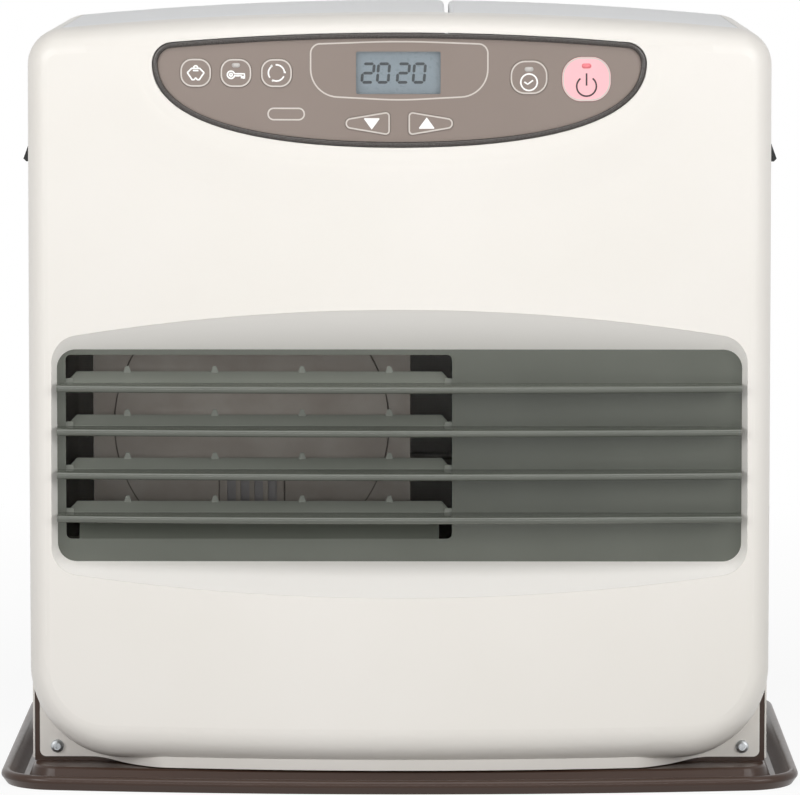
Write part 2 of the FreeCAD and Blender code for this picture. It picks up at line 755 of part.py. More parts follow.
def front_at(x, z, inset):
    """Y of the bowed front at (x, z), drawn in by inset."""
    radius = BOW_R - lean_at(z) - inset
    return FRONT_Y + BOW_R - math.sqrt(radius ** 2 - x ** 2)


def front_block(inset):
    """Everything behind the bowed, leaning front surface."""
    low = -20.0
    high = HEIGHT + 20.0
    back = SPLIT_Y + FRONT_SPARE
    points = [V(0, front_at(0, z, inset), z) for z in (low, BELLY_Z, high)]
    meridian = Part.Arc(*points).toBSpline().toShape()
    corners = [points[2], V(0, back, high), V(0, back, low), points[0]]
    sides = [edge(a, b) for a, b in zip(corners, corners[1:])]
    face = Part.Face(Part.Wire([meridian] + sides))
    axis = V(0, FRONT_Y + BOW_R, 0)
    face.rotate(axis, V(0, 0, 1), -20)
    return face.revolve(axis, V(0, 0, 1), 40)


def front_elevation(inset, start, back):
    """Prism of the front cover's outline between two depths."""
    outline = arched_outline(HALF, CROWN_R, HEIGHT, TOP_CORNER_R, BULGE_Z, LOW_CORNER_R,
                             inset, across(start))
    return prism(outline, V(0, back - start, 0))


def front_form(inset, back):
    """The front cover's pillow-shaped form, drawn in by inset."""
    form = front_elevation(inset, FRONT_Y - 20, back).common(front_block(inset))
    rim = []
    for number, side in enumerate(form.Edges, 1):
        if side.BoundBox.YMax < back - 1:
            start = rim_radius(side.firstVertex().Point) - inset
            end = rim_radius(side.lastVertex().Point) - inset
            rim.append((number, start, end))
    return blended(form, rim)


def rim_radius(point):
    """Rounding of the front's rim at a point, fuller along the foot."""
    return EDGE_R if point.z > BULGE_Z + LOW_CORNER_R / 2 else FOOT_R


def blended(form, edges):
    """Round edges, each given by its number and the radius at both of its ends."""
    doc = FreeCAD.newDocument("blend")
    base = doc.addObject("Part::Feature", "base")
    base.Shape = form
    blend = doc.addObject("Part::Fillet", "blend")
    blend.Base = base
    blend.Edges = edges
    doc.recompute()
    shape = blend.Shape.Solids[0].copy()
    FreeCAD.closeDocument(doc.Name)
    return shape


def outlet_cut(grow):
    """Tapered recess of the outlet, grown by the sheet for its outer side."""
    wires = []
    for reach in (0.0, OUTLET_REACH):
        side = OUTLET_HALF + grow + SIDE_SLOPE * reach
        low = OUTLET_LOW - grow - LOWER_SLOPE * reach
        top = OUTLET_TOP + grow + UPPER_SLOPE * reach
        radius = OUTLET_R + grow + SIDE_SLOPE * reach
        wires.append(rounded((-side, side), (low, top), radius, across(OUTLET_Y - reach)))
    return Part.makeLoft(wires, True, True)


def behind_lip(shift, z0, z1):
    """Everything behind the lip's bowed line, between two heights."""
    radius = BOW_R - LIP_INSET
    middle = FRONT_Y + LIP_INSET + shift
    end = middle + radius - math.sqrt(radius ** 2 - LIP_BOW_X ** 2)
    slope = LIP_BOW_X / math.sqrt(radius ** 2 - LIP_BOW_X ** 2)
    plate = PLATE_Y + shift
    run = (LIP_PLATE_X - LIP_BOW_X) / 3
    poles = [(LIP_BOW_X, end), (LIP_BOW_X + run, end + slope * run),
             (LIP_PLATE_X - run, plate), (LIP_PLATE_X, plate)]
    edges = [edge(V(-LIP_BOW_X, end, z0), V(0, middle, z0), V(LIP_BOW_X, end, z0))]
    for way in (-1, 1):
        curve = Part.BezierCurve()
        curve.setPoles([V(way * x, y, z0) for x, y in poles])
        edges.append(curve.toShape())
        edges.append(edge(V(way * LIP_PLATE_X, plate, z0), V(way * LIP_HALF, plate, z0)))
        edges.append(edge(V(way * LIP_HALF, plate, z0), V(way * LIP_HALF, 0, z0)))
    edges.append(edge(V(-LIP_HALF, 0, z0), V(LIP_HALF, 0, z0)))
    return prism(Part.Wire(Part.__sortEdges__(edges)), V(0, 0, z1 - z0))


def lip_outline(top):
    """Outline of the lip in elevation, a little higher under the corner plates."""
    place = across(FRONT_Y)
    high = LIP_Z + LIP_END_LIFT
    half_run = (LIP_PLATE_X - LIP_RISE_X) / 2
    turn = LIP_HALF - LIP_CORNER_R
    dip = LIP_CORNER_R * (1.0 - math.sqrt(0.5))
    poles = [(LIP_RISE_X, LIP_Z), (LIP_RISE_X + half_run, LIP_Z),
             (LIP_PLATE_X - half_run, high), (LIP_PLATE_X, high)]
    corner = [(turn, high), (LIP_HALF - dip, high + dip), (LIP_HALF, high + LIP_CORNER_R)]
    edges = [edge(place(-LIP_RISE_X, LIP_Z), place(LIP_RISE_X, LIP_Z)),
             edge(place(-LIP_HALF, top), place(LIP_HALF, top))]
    for way in (-1, 1):
        curve = Part.BezierCurve()
        curve.setPoles([place(way * u, v) for u, v in poles])
        edges.append(curve.toShape())
        for points in ([poles[3], corner[0]], corner, [corner[2], (LIP_HALF, top)]):
            edges.append(edge(*[place(way * u, v) for u, v in points]))
    return Part.Wire(Part.__sortEdges__(edges))


def cover_lip():
    """Turned-down lower lip, flat at the corners where the screws go."""
    top = BULGE_Z + LOW_CORNER_R + 2
    strip = behind_lip(0.0, LIP_Z, top).cut(behind_lip(SHEET, LIP_Z - 1, top + 1))
    strip = strip.common(prism(lip_outline(top + 20), V(0, COVER_DEPTH + 20, 0)))
    strip = strip.cut(front_form(SHEET / 2, SPLIT_Y + 20))
    for x in (-FRONT_SCREW_X, FRONT_SCREW_X):
        strip = strip.cut(rod(SCREW_R + 3 * FIT, V(x, PLATE_Y - 5, FRONT_SCREW_Z), V(x, 0, FRONT_SCREW_Z)))
    return strip


def panel_outline(inset, y):
    """Outline of the control panel: arched top, round corners, full lower curve."""
    corner = arch_corner(PANEL_HALF, PANEL_CROWN_R, PANEL_TOP, PANEL_CORNER_R, inset)
    place = across(y)
    waist = corner[2][1]
    half = PANEL_HALF - inset
    deep = waist - PANEL_BOTTOM - inset
    lower = []
    poles = [(half, waist), (half, waist - PANEL_FULL * deep),
             (PANEL_FULL * half, waist - deep), (0.0, waist - deep)]
    for way in (1, -1):
        curve = Part.BezierCurve()
        curve.setPoles([place(way * u, v) for u, v in poles])
        lower.append(curve.toShape())
    left = [(-u, v) for u, v in corner]
    upper = [corner[::-1], [corner[0], (0.0, PANEL_TOP - inset), left[0]], left]
    edges = [edge(*[place(u, v) for u, v in points]) for points in upper]
    return Part.Wire(Part.__sortEdges__(edges + lower))


def through_front(outline_of, sink, back):
    """Curved plate of an outline, between two depths behind the front surface."""
    column = prism(outline_of(FRONT_Y - CUT_START), V(0, CUT_REACH, 0))
    return column.common(front_block(sink)).cut(front_block(back))


def front_cover():
    """Bowed steel front with the outlet recess, panel opening and lower lip."""
    outer = front_form(0.0, SPLIT_Y).cut(outlet_cut(0.0))
    inner = front_form(SHEET, SPLIT_Y + 5).cut(outlet_cut(SHEET))
    cover = outer.cut(inner)
    cover = cover.cut(prism(panel_outline(-SEAM, FRONT_Y - CUT_START), V(0, CUT_REACH, 0)))
    flat = HALF - LOW_CORNER_R
    spare = behind_lip(SHEET, BULGE_Z - 1, BULGE_Z + SPARE_RISE)
    spare = spare.common(box((-flat, flat), (FRONT_Y, 0), (0, HEIGHT)))
    return cover.cut(spare).fuse(cover_lip()).removeSplitter()


def key_outlines():
    """Name, middle and outline maker of every key."""
    keys = []
    names = ("key_economy", "key_lock", "key_extend")
    spots = [(n, x, KEY_ROW_Z, SMALL_KEY) for n, x in zip(names, SMALL_KEY_X)]
    spots.append(("key_timer", TIMER_X, PANEL_TOP - TIMER_DROP, TIMER_KEY))
    spots.append(("key_power", POWER_X, PANEL_TOP - POWER_DROP, POWER_KEY))
    for name, x, z, (width, height, radius) in spots:
        keys.append((name, (x, z), key_maker(x, z, width, height, radius)))
    for name, way in (("key_down", -1), ("key_up", 1)):
        keys.append((name, (way * ARROW_X, ARROW_Z), arrow_maker(way)))
    return keys


def key_maker(x, z, width, height, radius):
    """Outline maker of a round-cornered key; grow widens it for its hole."""
    def outline(y, grow=0.0):
        us = (x - width / 2 - grow, x + width / 2 + grow)
        vs = (z - height / 2 - grow, z + height / 2 + grow)
        return rounded(us, vs, radius + grow, across(y))
    return outline


def arrow_maker(way):
    """Outline maker of an arrow key, pointed on its outer side."""
    def outline(y, grow=0.0):
        inner = ARROW_X - ARROW_LENGTH / 2 + ARROW_BACK_R
        outer = ARROW_X + ARROW_LENGTH / 2 - ARROW_TIP_R
        rise = ARROW_HEIGHT / 2 - ARROW_BACK_R
        circles = [(inner, ARROW_Z - rise, ARROW_BACK_R + grow), (outer, ARROW_Z, ARROW_TIP_R + grow),
                   (inner, ARROW_Z + rise, ARROW_BACK_R + grow)]
        return hull(circles, lambda u, v: V(way * u, y, v))
    return outline


def display_outline(y, grow=0.0):
    """Outline of the display window."""
    x, z = DISPLAY_AT
    us = (x - DISPLAY_SIZE[0] / 2 - grow, x + DISPLAY_SIZE[0] / 2 + grow)
    vs = (z - DISPLAY_SIZE[1] / 2 - grow, z + DISPLAY_SIZE[1] / 2 + grow)
    return rounded(us, vs, DISPLAY_R + grow, across(y))


def board_front():
    """Depth of the control board's front face."""
    deepest = front_at(PANEL_HALF - PANEL_CORNER_R, PANEL_TOP, FASCIA_BACK)
    return deepest + SWITCH_HEIGHT + KEY_TRAVEL + 2 * SEAM


def fascia(keys):
    """Curved plastic fascia with holes for keys and display, and bosses for the board."""
    plate = through_front(lambda y: panel_outline(BEZEL_WIDTH + FIT, y), FASCIA_SINK, FASCIA_BACK)
    start = FRONT_Y - CUT_START
    reach = V(0, CUT_REACH, 0)
    holes = [prism(outline(start, KEY_GAP), reach) for name, at, outline in keys]
    holes.append(prism(display_outline(start, FIT), reach))
    plate = plate.cut(holes)
    bosses = []
    for x, drop in BOSS_SPOTS:
        z = PANEL_TOP - drop
        for way in (-1, 1):
            start = V(way * x, front_at(x, z, (FASCIA_SINK + FASCIA_BACK) / 2), z)
            bosses.append(rod(BOSS_R, start, V(way * x, board_front(), z)))
    return plate.fuse(bosses)


def fascia_bezel():
    """Dark frame round the fascia."""
    ring = through_front(lambda y: panel_outline(0.0, y), -BEZEL_PROUD, BEZEL_BACK)
    return ring.cut(prism(panel_outline(BEZEL_WIDTH, FRONT_Y - CUT_START), V(0, CUT_REACH, 0)))


def key(at, outline):
    """Key cap with the stem that presses its switch."""
    x, z = at
    cap = through_front(outline, KEY_SINK, KEY_BACK)
    start = V(x, front_at(x, z, KEY_BACK - SHEET), z)
    end = V(x, board_front() - SWITCH_HEIGHT - KEY_TRAVEL - SEAM / 2, z)
    return cap.fuse(rod(STEM_R, start, end))


def lcd_module():
    """Display module between the window and the board."""
    x, z = DISPLAY_AT
    half = DISPLAY_SIZE[0] / 2 + 2
    tall = DISPLAY_SIZE[1] / 2 + 1.5
    front = front_at(half, z + tall, FASCIA_BACK) + SEAM
    return box((x - half, x + half), (front, board_front()), (z - tall, z + tall))


def control_board(keys):
    """Circuit board with one switch behind each key."""
    front = board_front()
    plate = rounded((-BOARD_HALF, BOARD_HALF), (BOARD_TOP - BOARD_TALL, BOARD_TOP), 2.0,
                    across(front))
    board = prism(plate, V(0, BOARD_THICK, 0))
    side = SWITCH_SIDE / 2
    switches = []
    for name, (x, z), outline in keys:
        switches.append(box((x - side, x + side), (front - SWITCH_HEIGHT, front), (z - side, z + side)))
    return board.fuse(switches)


def louvre_panel():
    """Grey panel behind the outlet, with a window for the hot air and a bent tongue."""
    side = OUTLET_HALF + PANEL_OVERLAP
    tall = (OUTLET_LOW - PANEL_OVERLAP, OUTLET_TOP + PANEL_OVERLAP)
    plate = prism(rounded((-side, side), tall, OUTLET_R, across(OUTLET_Y)), V(0, SHEET, 0))
    window = rounded((WINDOW_LEFT, WINDOW_RIGHT), (WINDOW_LOW, WINDOW_TOP), WINDOW_R, across(OUTLET_Y - 1))
    plate = plate.cut(prism(window, V(0, 2 + SHEET, 0)))
    back = OUTLET_Y + SHEET
    root = WINDOW_LOW - SHEET
    tip = WINDOW_LOW + TONGUE_RISE
    tongue = [(OUTLET_Y, root), (back, root), (back + TONGUE_RUN, tip),
              (back + TONGUE_RUN - VANE_SHEET, tip), (OUTLET_Y, WINDOW_LOW)]
    start = WINDOW_LEFT + 2 * NOTCH_R
    reach = V(WINDOW_RIGHT - 2 * NOTCH_R - start, 0, 0)
    return plate.fuse(prism(polygon(tongue, sideways(start)), reach)).removeSplitter()


def louvre_bars():
    """Bowed bars: a level shelf out from the panel with a round bead under its front edge."""
    bead_y = OUTLET_Y - BAR_STAND - BAR_BOW
    axis_y = bead_y + (BAR_HALF ** 2 + BAR_BOW ** 2) / (2 * BAR_BOW)
    back = OUTLET_Y - FIT / 2
    bars = []
    for z in BAR_ZS:
        axis = V(0, axis_y, z)
        bead = Part.Face(Part.Wire(Part.makeCircle(BEAD_R, V(0, bead_y, z), V(1, 0, 0))))
        top = z + BEAD_R - FIT
        shelf = Part.Face(polygon([(bead_y, top - VANE_SHEET), (back + BAR_BOW, top - VANE_SHEET),
                                   (back + BAR_BOW, top), (bead_y, top)], sideways(0)))
        solids = []
        for face in (bead, shelf):
            face.rotate(axis, V(0, 0, 1), -BAR_TURN)
            solids.append(face.revolve(axis, V(0, 0, 1), 2 * BAR_TURN))
        room = box((-BAR_HALF, BAR_HALF), (bead_y - 2 * BEAD_R, back), (z - 2 * BEAD_R, z + 2 * BEAD_R))
        bars.append(solids[0].fuse(solids[1]).common(room).removeSplitter())
    return Part.makeCompound(bars)


def louvre_vanes():
    """Slanted, toothed vanes behind the window, with ears on the panel's back."""
    back = OUTLET_Y + SHEET
    low = WINDOW_LEFT + FIT
    high = WINDOW_RIGHT - FIT
    vanes = []
    for z in BAR_ZS:
        foot = z + BEAD_R - VANE_SHEET
        tip = back + VANE_RUN
        section = [(back, foot), (tip, foot + VANE_RISE), (tip, foot + VANE_RISE + VANE_SHEET),
                   (back, foot + VANE_SHEET)]
        plate = prism(polygon(section, sideways(low)), V(high - low, 0, 0))
        corners = []
        crest = foot + VANE_RISE + VANE_SHEET
        for x, way in ((low, 1), (high, -1)):
            cut = [(x - way, crest - VANE_CHAMFER - 1), (x - way, crest + 1),
                   (x + way * (VANE_CHAMFER + 1), crest + 1)]
            corners.append(prism(polygon(cut, across(back - 1)), V(0, VANE_RUN + 2, 0)))
        plate = plate.cut(corners)
        extra = []
        for x in (low, high):
            extra.append(box((x - VANE_EAR, x + VANE_EAR), (back, back + VANE_SHEET), (foot - 2, foot + 3)))
        top = foot + VANE_RISE
        for k in range(TOOTH_COUNT):
            x = TOOTH_FIRST_X + TOOTH_PITCH * k
            tooth = [(x - TOOTH_WIDTH / 2, top), (x + TOOTH_WIDTH / 2, top),
                     (x + TOOTH_WIDTH / 5, top + VANE_SHEET + TOOTH_HEIGHT),
                     (x - TOOTH_WIDTH / 5, top + VANE_SHEET + TOOTH_HEIGHT)]
            extra.append(prism(polygon(tooth, across(tip - VANE_SHEET)), V(0, VANE_SHEET, 0)))
        vanes.append(plate.fuse(extra).removeSplitter())
    return Part.makeCompound(vanes)


def partition():
    """Upright wall between the burner and the tank, with a top flange."""
    depth = (SPLIT_Y + 2 * SHEET, REAR_IN - 5)
    wall = box((PARTITION_X, PARTITION_X + SHEET), depth, (FLOOR_Z, TOP_SPLIT_Z))
    flange = box((PLATE_RIGHT - PARTITION_FLANGE / 2, PARTITION_X + SHEET + PARTITION_FLANGE / 2), depth,
                 (TOP_SPLIT_Z - SHEET, TOP_SPLIT_Z))
    hole = rod(2 * PIPE_R, V(PARTITION_X - 1, PUMP_Y, PIPE_Z), V(PARTITION_X + SHEET + 1, PUMP_Y, PIPE_Z))
    swing = box((0, HALF), (HINGE_Y - HINGE_ROOM, REAR_Y), (HINGE_Z - HINGE_ROOM, HEIGHT))
    return wall.fuse(flange).cut([hole, swing]).removeSplitter()


def heat_shield():
    """Level shield over the burner that carries the supply board."""
    x = (-HALF + SHEET + FIT, PARTITION_X)
    y = (SPLIT_Y + 4 * SHEET, REAR_Y - REAR_EDGE_R)
    plate = box(x, y, (SHIELD_Z, SHIELD_Z + SHEET))
    skirt = box((PARTITION_X - SHEET, PARTITION_X), y, (SHIELD_Z - SHIELD_SKIRT, SHIELD_Z))
    left = box((x[0], x[0] + SHEET), y, (SHIELD_Z - SHIELD_SKIRT, SHIELD_Z))
    clear = box((x[0] - 1, x[0] + GRIP_DEPTH), (GRIP_Y[0] - 3, GRIP_Y[1] + 3), (0, HEIGHT))
    return plate.fuse([skirt, left]).cut(clear).removeSplitter()


def air_box():
    """Sheet box under the burner pot that takes the blower's air."""
    x = (BURNER_X - AIR_BOX_HALF, BURNER_X + AIR_BOX_HALF)
    y = (BURNER_Y - AIR_BOX_HALF, BURNER_Y + AIR_BOX_HALF)
    outer = box(x, y, (FLOOR_Z, BOX_TOP))
    inner = box((x[0] + SHEET, x[1] - SHEET), (y[0] + SHEET, y[1] - SHEET), (0, BOX_TOP - SHEET))
    hole = rod(POT_R / 2, V(BURNER_X, BURNER_Y, 0), V(BURNER_X, BURNER_Y, HEIGHT))
    return outer.cut([inner, hole, duct_room(SHEET)])


def duct_room(inset):
    """Room of the duct from the blower to the air box, drawn in by inset."""
    start = BLOWER_X + IMPELLER_R * 0.6
    low = BLOWER_Z - BLOWER_R * 0.6
    y = (BLOWER_FRONT + 4 + inset, BLOWER_FRONT + BLOWER_WIDTH - 4 - inset)
    return box((start, BURNER_X - AIR_BOX_HALF + 2 * inset), y, (low + inset, BLOWER_Z - inset))


def burner_pot():
    """Cast pot on the air box, with a flange for the chamber."""
    inner = POT_R - POT_WALL
    profile = [(POT_R / 2 - POT_WALL, 0), (POT_R, 0), (POT_R, POT_HEIGHT - POT_WALL),
               (POT_FLANGE_R, POT_HEIGHT - POT_WALL), (POT_FLANGE_R, POT_HEIGHT), (inner, POT_HEIGHT),
               (inner, POT_WALL), (POT_R / 2 - POT_WALL, POT_WALL)]
    return turned(profile, V(BURNER_X, BURNER_Y, BOX_TOP), V(0, 0, 1), V(1, 0, 0))


def burner_head():
    """Ported flame ring on the pot."""
    wall = POT_WALL
    profile = [(wall * 4, 0), (HEAD_R, 0), (HEAD_R, wall), (HEAD_R - wall, wall),
               (HEAD_R - 2 * wall, HEAD_HEIGHT), (HEAD_R - 3 * wall, HEAD_HEIGHT),
               (HEAD_R - 3 * wall, wall), (wall * 4, wall)]
    base = V(BURNER_X, BURNER_Y, POT_TOP)
    head = turned(profile, base, V(0, 0, 1), V(1, 0, 0))
    slots = []
    for k in range(PORT_COUNT):
        slot = box((HEAD_R - 4 * wall, HEAD_R), (-PORT_WIDTH / 2, PORT_WIDTH / 2),
                   (wall + 1, HEAD_HEIGHT - 2))
        slot.rotate(V(0, 0, 0), V(0, 0, 1), 360.0 * k / PORT_COUNT)
        slot.translate(base)
        slots.append(slot)
    return head.cut(slots)


def combustion_chamber():
    """Steel chamber over the burner, open at the front for its front plate."""
    x = (BURNER_X - CHAMBER_HALF, BURNER_X + CHAMBER_HALF)
    y = (CHAMBER_Y, BURNER_Y + CHAMBER_REAR)
    outer = box(x, y, (POT_TOP, CHAMBER_TOP))
    inner = box((x[0] + SHEET, x[1] - SHEET), (y[0] - 1, y[1] - SHEET),
                (POT_TOP + SHEET, CHAMBER_TOP - SHEET))
    centre = V(BURNER_X, BURNER_Y, 0)
    cuts = [inner, rod(HEAD_R + 5 * FIT, centre, V(BURNER_X, BURNER_Y, POT_TOP + 5))]
    igniter_z = POT_TOP + IGNITER_RISE
    cuts.append(rod(IGNITER_R + FIT, V(x[0] - 1, BURNER_Y, igniter_z), V(x[0] + 5, BURNER_Y, igniter_z)))
    rod_z = POT_TOP + ROD_RISE
    cuts.append(rod(ROD_R + FIT, V(x[1] - 5, BURNER_Y, rod_z), V(x[1] + 1, BURNER_Y, rod_z)))
    first = BURNER_X - FLUE_PITCH * (FLUE_SLOTS - 1) / 2 - FLUE_LENGTH / 2
    for k in range(FLUE_SLOTS):
        slot_x = first + FLUE_PITCH * k
        cuts.append(box((slot_x, slot_x + FLUE_LENGTH), (y[0] + FLUE_INSET, y[0] + FLUE_INSET + FLUE_WIDTH),
                        (CHAMBER_TOP - 2 * SHEET, CHAMBER_TOP + SHEET)))
    return outer.cut(cuts)


def chamber_front():
    """Front plate of the chamber, with a round raised cover and a slotted vent."""
    x = (BURNER_X - CHAMBER_HALF, BURNER_X + CHAMBER_HALF)
    plate = box(x, (CHAMBER_Y - SHEET, CHAMBER_Y), (POT_TOP, CHAMBER_TOP))
    front = CHAMBER_Y - SHEET
    drum = rod(DRUM_R, V(BURNER_X, front, DRUM_Z), V(BURNER_X, front - DRUM_PROUD, DRUM_Z))
    frame = rounded((BURNER_X - VENT_HALF, BURNER_X + VENT_HALF),
                    (VENT_LOW - VENT_RIM, VENT_TOP + VENT_RIM), VENT_R, across(front))
    raised = prism(frame, V(0, -DRUM_PROUD - SHEET, 0))
    slots = []
    first = BURNER_X - VENT_PITCH * (VENT_SLOTS - 1) / 2
    for k in range(VENT_SLOTS):
        at = first + VENT_PITCH * k
        slot = rounded((at - VENT_SLOT / 2, at + VENT_SLOT / 2), (VENT_LOW, VENT_TOP), VENT_R,
                       across(front - 10))
        slots.append(prism(slot, V(0, 20, 0)))
    return plate.fuse([drum, raised]).cut(slots).removeSplitter()


def igniter():
    """Ceramic igniter through the chamber's left wall."""
    wall = BURNER_X - CHAMBER_HALF
    z = POT_TOP + IGNITER_RISE
    tip = V(BURNER_X - HEAD_R - 3, BURNER_Y, z)
    body = rod(IGNITER_R, V(wall - 18, BURNER_Y, z), tip)
    return body.fuse(rod(2 * IGNITER_R, V(wall - 5, BURNER_Y, z), V(wall, BURNER_Y, z)))


def flame_rod():
    """Flame sensing rod through the chamber's right wall."""
    wall = BURNER_X + CHAMBER_HALF
    z = POT_TOP + ROD_RISE
    body = rod(ROD_R, V(wall + 10, BURNER_Y, z), V(BURNER_X + POT_R / 2, BURNER_Y, z))
    return body.fuse(rod(4 * ROD_R, V(wall, BURNER_Y, z), V(wall + 7, BURNER_Y, z)))


def blower_housing():
    """Combustion blower's drum with its foot and duct."""
    y = (BLOWER_FRONT, BLOWER_FRONT + BLOWER_WIDTH)
    wall = 1.2
    drum = rod(BLOWER_R, V(BLOWER_X, y[0], BLOWER_Z), V(BLOWER_X, y[1], BLOWER_Z))
    foot = box((BLOWER_X - 12, BLOWER_X + 12), y, (FLOOR_Z, BLOWER_Z - BLOWER_R * 0.7))
    body = drum.fuse([foot, duct_room(0.0)])
    room = rod(BLOWER_R - wall, V(BLOWER_X, y[0] + wall, BLOWER_Z), V(BLOWER_X, y[1] - wall, BLOWER_Z))
    intake = rod(INTAKE_R, V(BLOWER_X, y[1] - 5, BLOWER_Z), V(BLOWER_X, y[1] + 5, BLOWER_Z))
    shaft = rod(BLOWER_SHAFT_R + 1, V(BLOWER_X, y[0] - 5, BLOWER_Z), V(BLOWER_X, y[0] + 5, BLOWER_Z))
    return body.cut([room, intake, shaft, duct_room(SHEET)])


def blower_impeller():
    """Blower wheel with its shaft."""
    front = BLOWER_FRONT + 4
    rear = BLOWER_FRONT + BLOWER_WIDTH - 4
    disc = rod(IMPELLER_R, V(0, front, 0), V(0, front + 1.2, 0))
    ring = rod(IMPELLER_R, V(0, rear - 1.2, 0), V(0, rear, 0))
    ring = ring.cut(rod(IMPELLER_R - 8, V(0, rear - 2, 0), V(0, rear + 1, 0)))
    shaft = rod(BLOWER_SHAFT_R, V(0, BLOWER_FRONT - BLOWER_MOTOR_LENGTH + 6, 0), V(0, front + 8, 0))
    hub = rod(3 * BLOWER_SHAFT_R, V(0, front, 0), V(0, front + 7, 0))
    blades = []
    for k in range(IMPELLER_BLADES):
        blade = box((IMPELLER_R - 8, IMPELLER_R), (front, rear), (-0.5, 0.5))
        blade.rotate(V(IMPELLER_R - 4, 0, 0), V(0, 1, 0), 28)
        blade.rotate(V(0, 0, 0), V(0, 1, 0), 360.0 * k / IMPELLER_BLADES)
        blades.append(blade)
    wheel = disc.fuse([ring, shaft, hub] + blades)
    wheel = wheel.common(rod(IMPELLER_R, V(0, BLOWER_FRONT - BLOWER_MOTOR_LENGTH, 0), V(0, rear, 0)))
    wheel.translate(V(BLOWER_X, 0, BLOWER_Z))
    return wheel


def blower_motor():
    """Blower motor on the front of the drum."""
    start = V(BLOWER_X, BLOWER_FRONT - BLOWER_MOTOR_LENGTH, BLOWER_Z)
    end = V(BLOWER_X, BLOWER_FRONT, BLOWER_Z)
    return rod(BLOWER_MOTOR_R, start, end).cut(rod(BLOWER_SHAFT_R + FIT, start + V(0, 4, 0), end))


def convection_fan():
    """Axial fan with its shaft."""
    rear = REAR_IN - FAN_MOTOR_LENGTH - FAN_GAP
    front = rear - FAN_WIDTH
    hub = rod(FAN_HUB_R, V(0, front, 0), V(0, rear, 0))
    cavity = rod(FAN_HUB_R - 2, V(0, front + 2, 0), V(0, rear, 0))
    boss = rod(3 * FAN_SHAFT_R, V(0, front, 0), V(0, rear, 0))
    shaft = rod(FAN_SHAFT_R, V(0, front - 3, 0), V(0, REAR_IN - 5, 0))
    middle = (front + rear) / 2
    deep = FAN_WIDTH / 2 - 1
    wide = FAN_R * 0.33
    blades = []
    for k in range(FAN_BLADES):
        lower = [(middle + deep, -wide), (middle - 0.12 * deep, 0.1 * wide), (middle - deep, wide)]
        upper = [(y - BLADE_THICK, z) for y, z in lower[::-1]]
        section = [lower, (lower[2], upper[0]), upper, (upper[2], lower[0])]
        blade = prism(wire(section, sideways(FAN_HUB_R - 1.5)), V(FAN_R, 0, 0))
        blade.rotate(V(0, 0, 0), V(0, 1, 0), 360.0 * k / FAN_BLADES)
        blades.append(blade)
    room = rod(FAN_R, V(0, front, 0), V(0, rear, 0)).cut(rod(FAN_HUB_R - 1, V(0, 0, 0), V(0, REAR_Y, 0)))
    blades = [blade.common(room) for blade in blades]
    fan = hub.cut(cavity).fuse([boss, shaft] + blades)
    fan.translate(V(FAN_X, 0, FAN_Z))
    return fan


def fan_motor():
    """Fan motor on the rear panel."""
    start = V(FAN_X, REAR_IN - FAN_MOTOR_LENGTH, FAN_Z)
    body = rod(FAN_MOTOR_R, start, V(FAN_X, REAR_IN, FAN_Z))
    return body.cut(rod(FAN_SHAFT_R + FIT, start - V(0, 1, 0), V(FAN_X, REAR_IN - 4, FAN_Z)))


def air_filter():
    """Filter frame with a coarse grid and a pull tab."""
    x = (FAN_X - FILTER_HALF, FAN_X + FILTER_HALF)
    z = (FILTER_LOW + FIT, FAN_Z + FILTER_HALF)
    y = (FILTER_Y, FILTER_Y + FILTER_THICK)
    frame = prism(rounded(x, z, 2.0, across(y[0])), V(0, FILTER_THICK, 0))
    opening = box((x[0] + FILTER_FRAME, x[1] - FILTER_FRAME), (y[0] - 1, y[1] + 1),
                  (z[0] + FILTER_FRAME, z[1] - FILTER_FRAME))
    frame = frame.cut(opening)
    step = 2 * (FILTER_HALF - FILTER_FRAME) / (FILTER_BARS + 1)
    bar = (y[0] + 1, y[0] + 1 + FILTER_BAR)
    bars = []
    for k in range(1, FILTER_BARS + 1):
        across_x = x[0] + FILTER_FRAME + step * k
        up_z = FILTER_LOW + FILTER_FRAME + step * k
        bars.append(box((across_x - FILTER_BAR / 2, across_x + FILTER_BAR / 2), bar, z))
        bars.append(box(x, bar, (up_z - FILTER_BAR / 2, up_z + FILTER_BAR / 2)))
    tab = box((FAN_X - 15, FAN_X + 15), (y[1] - 2, y[1] + 4), (z[1] - 6, z[1]))
    return frame.fuse(bars + [tab])


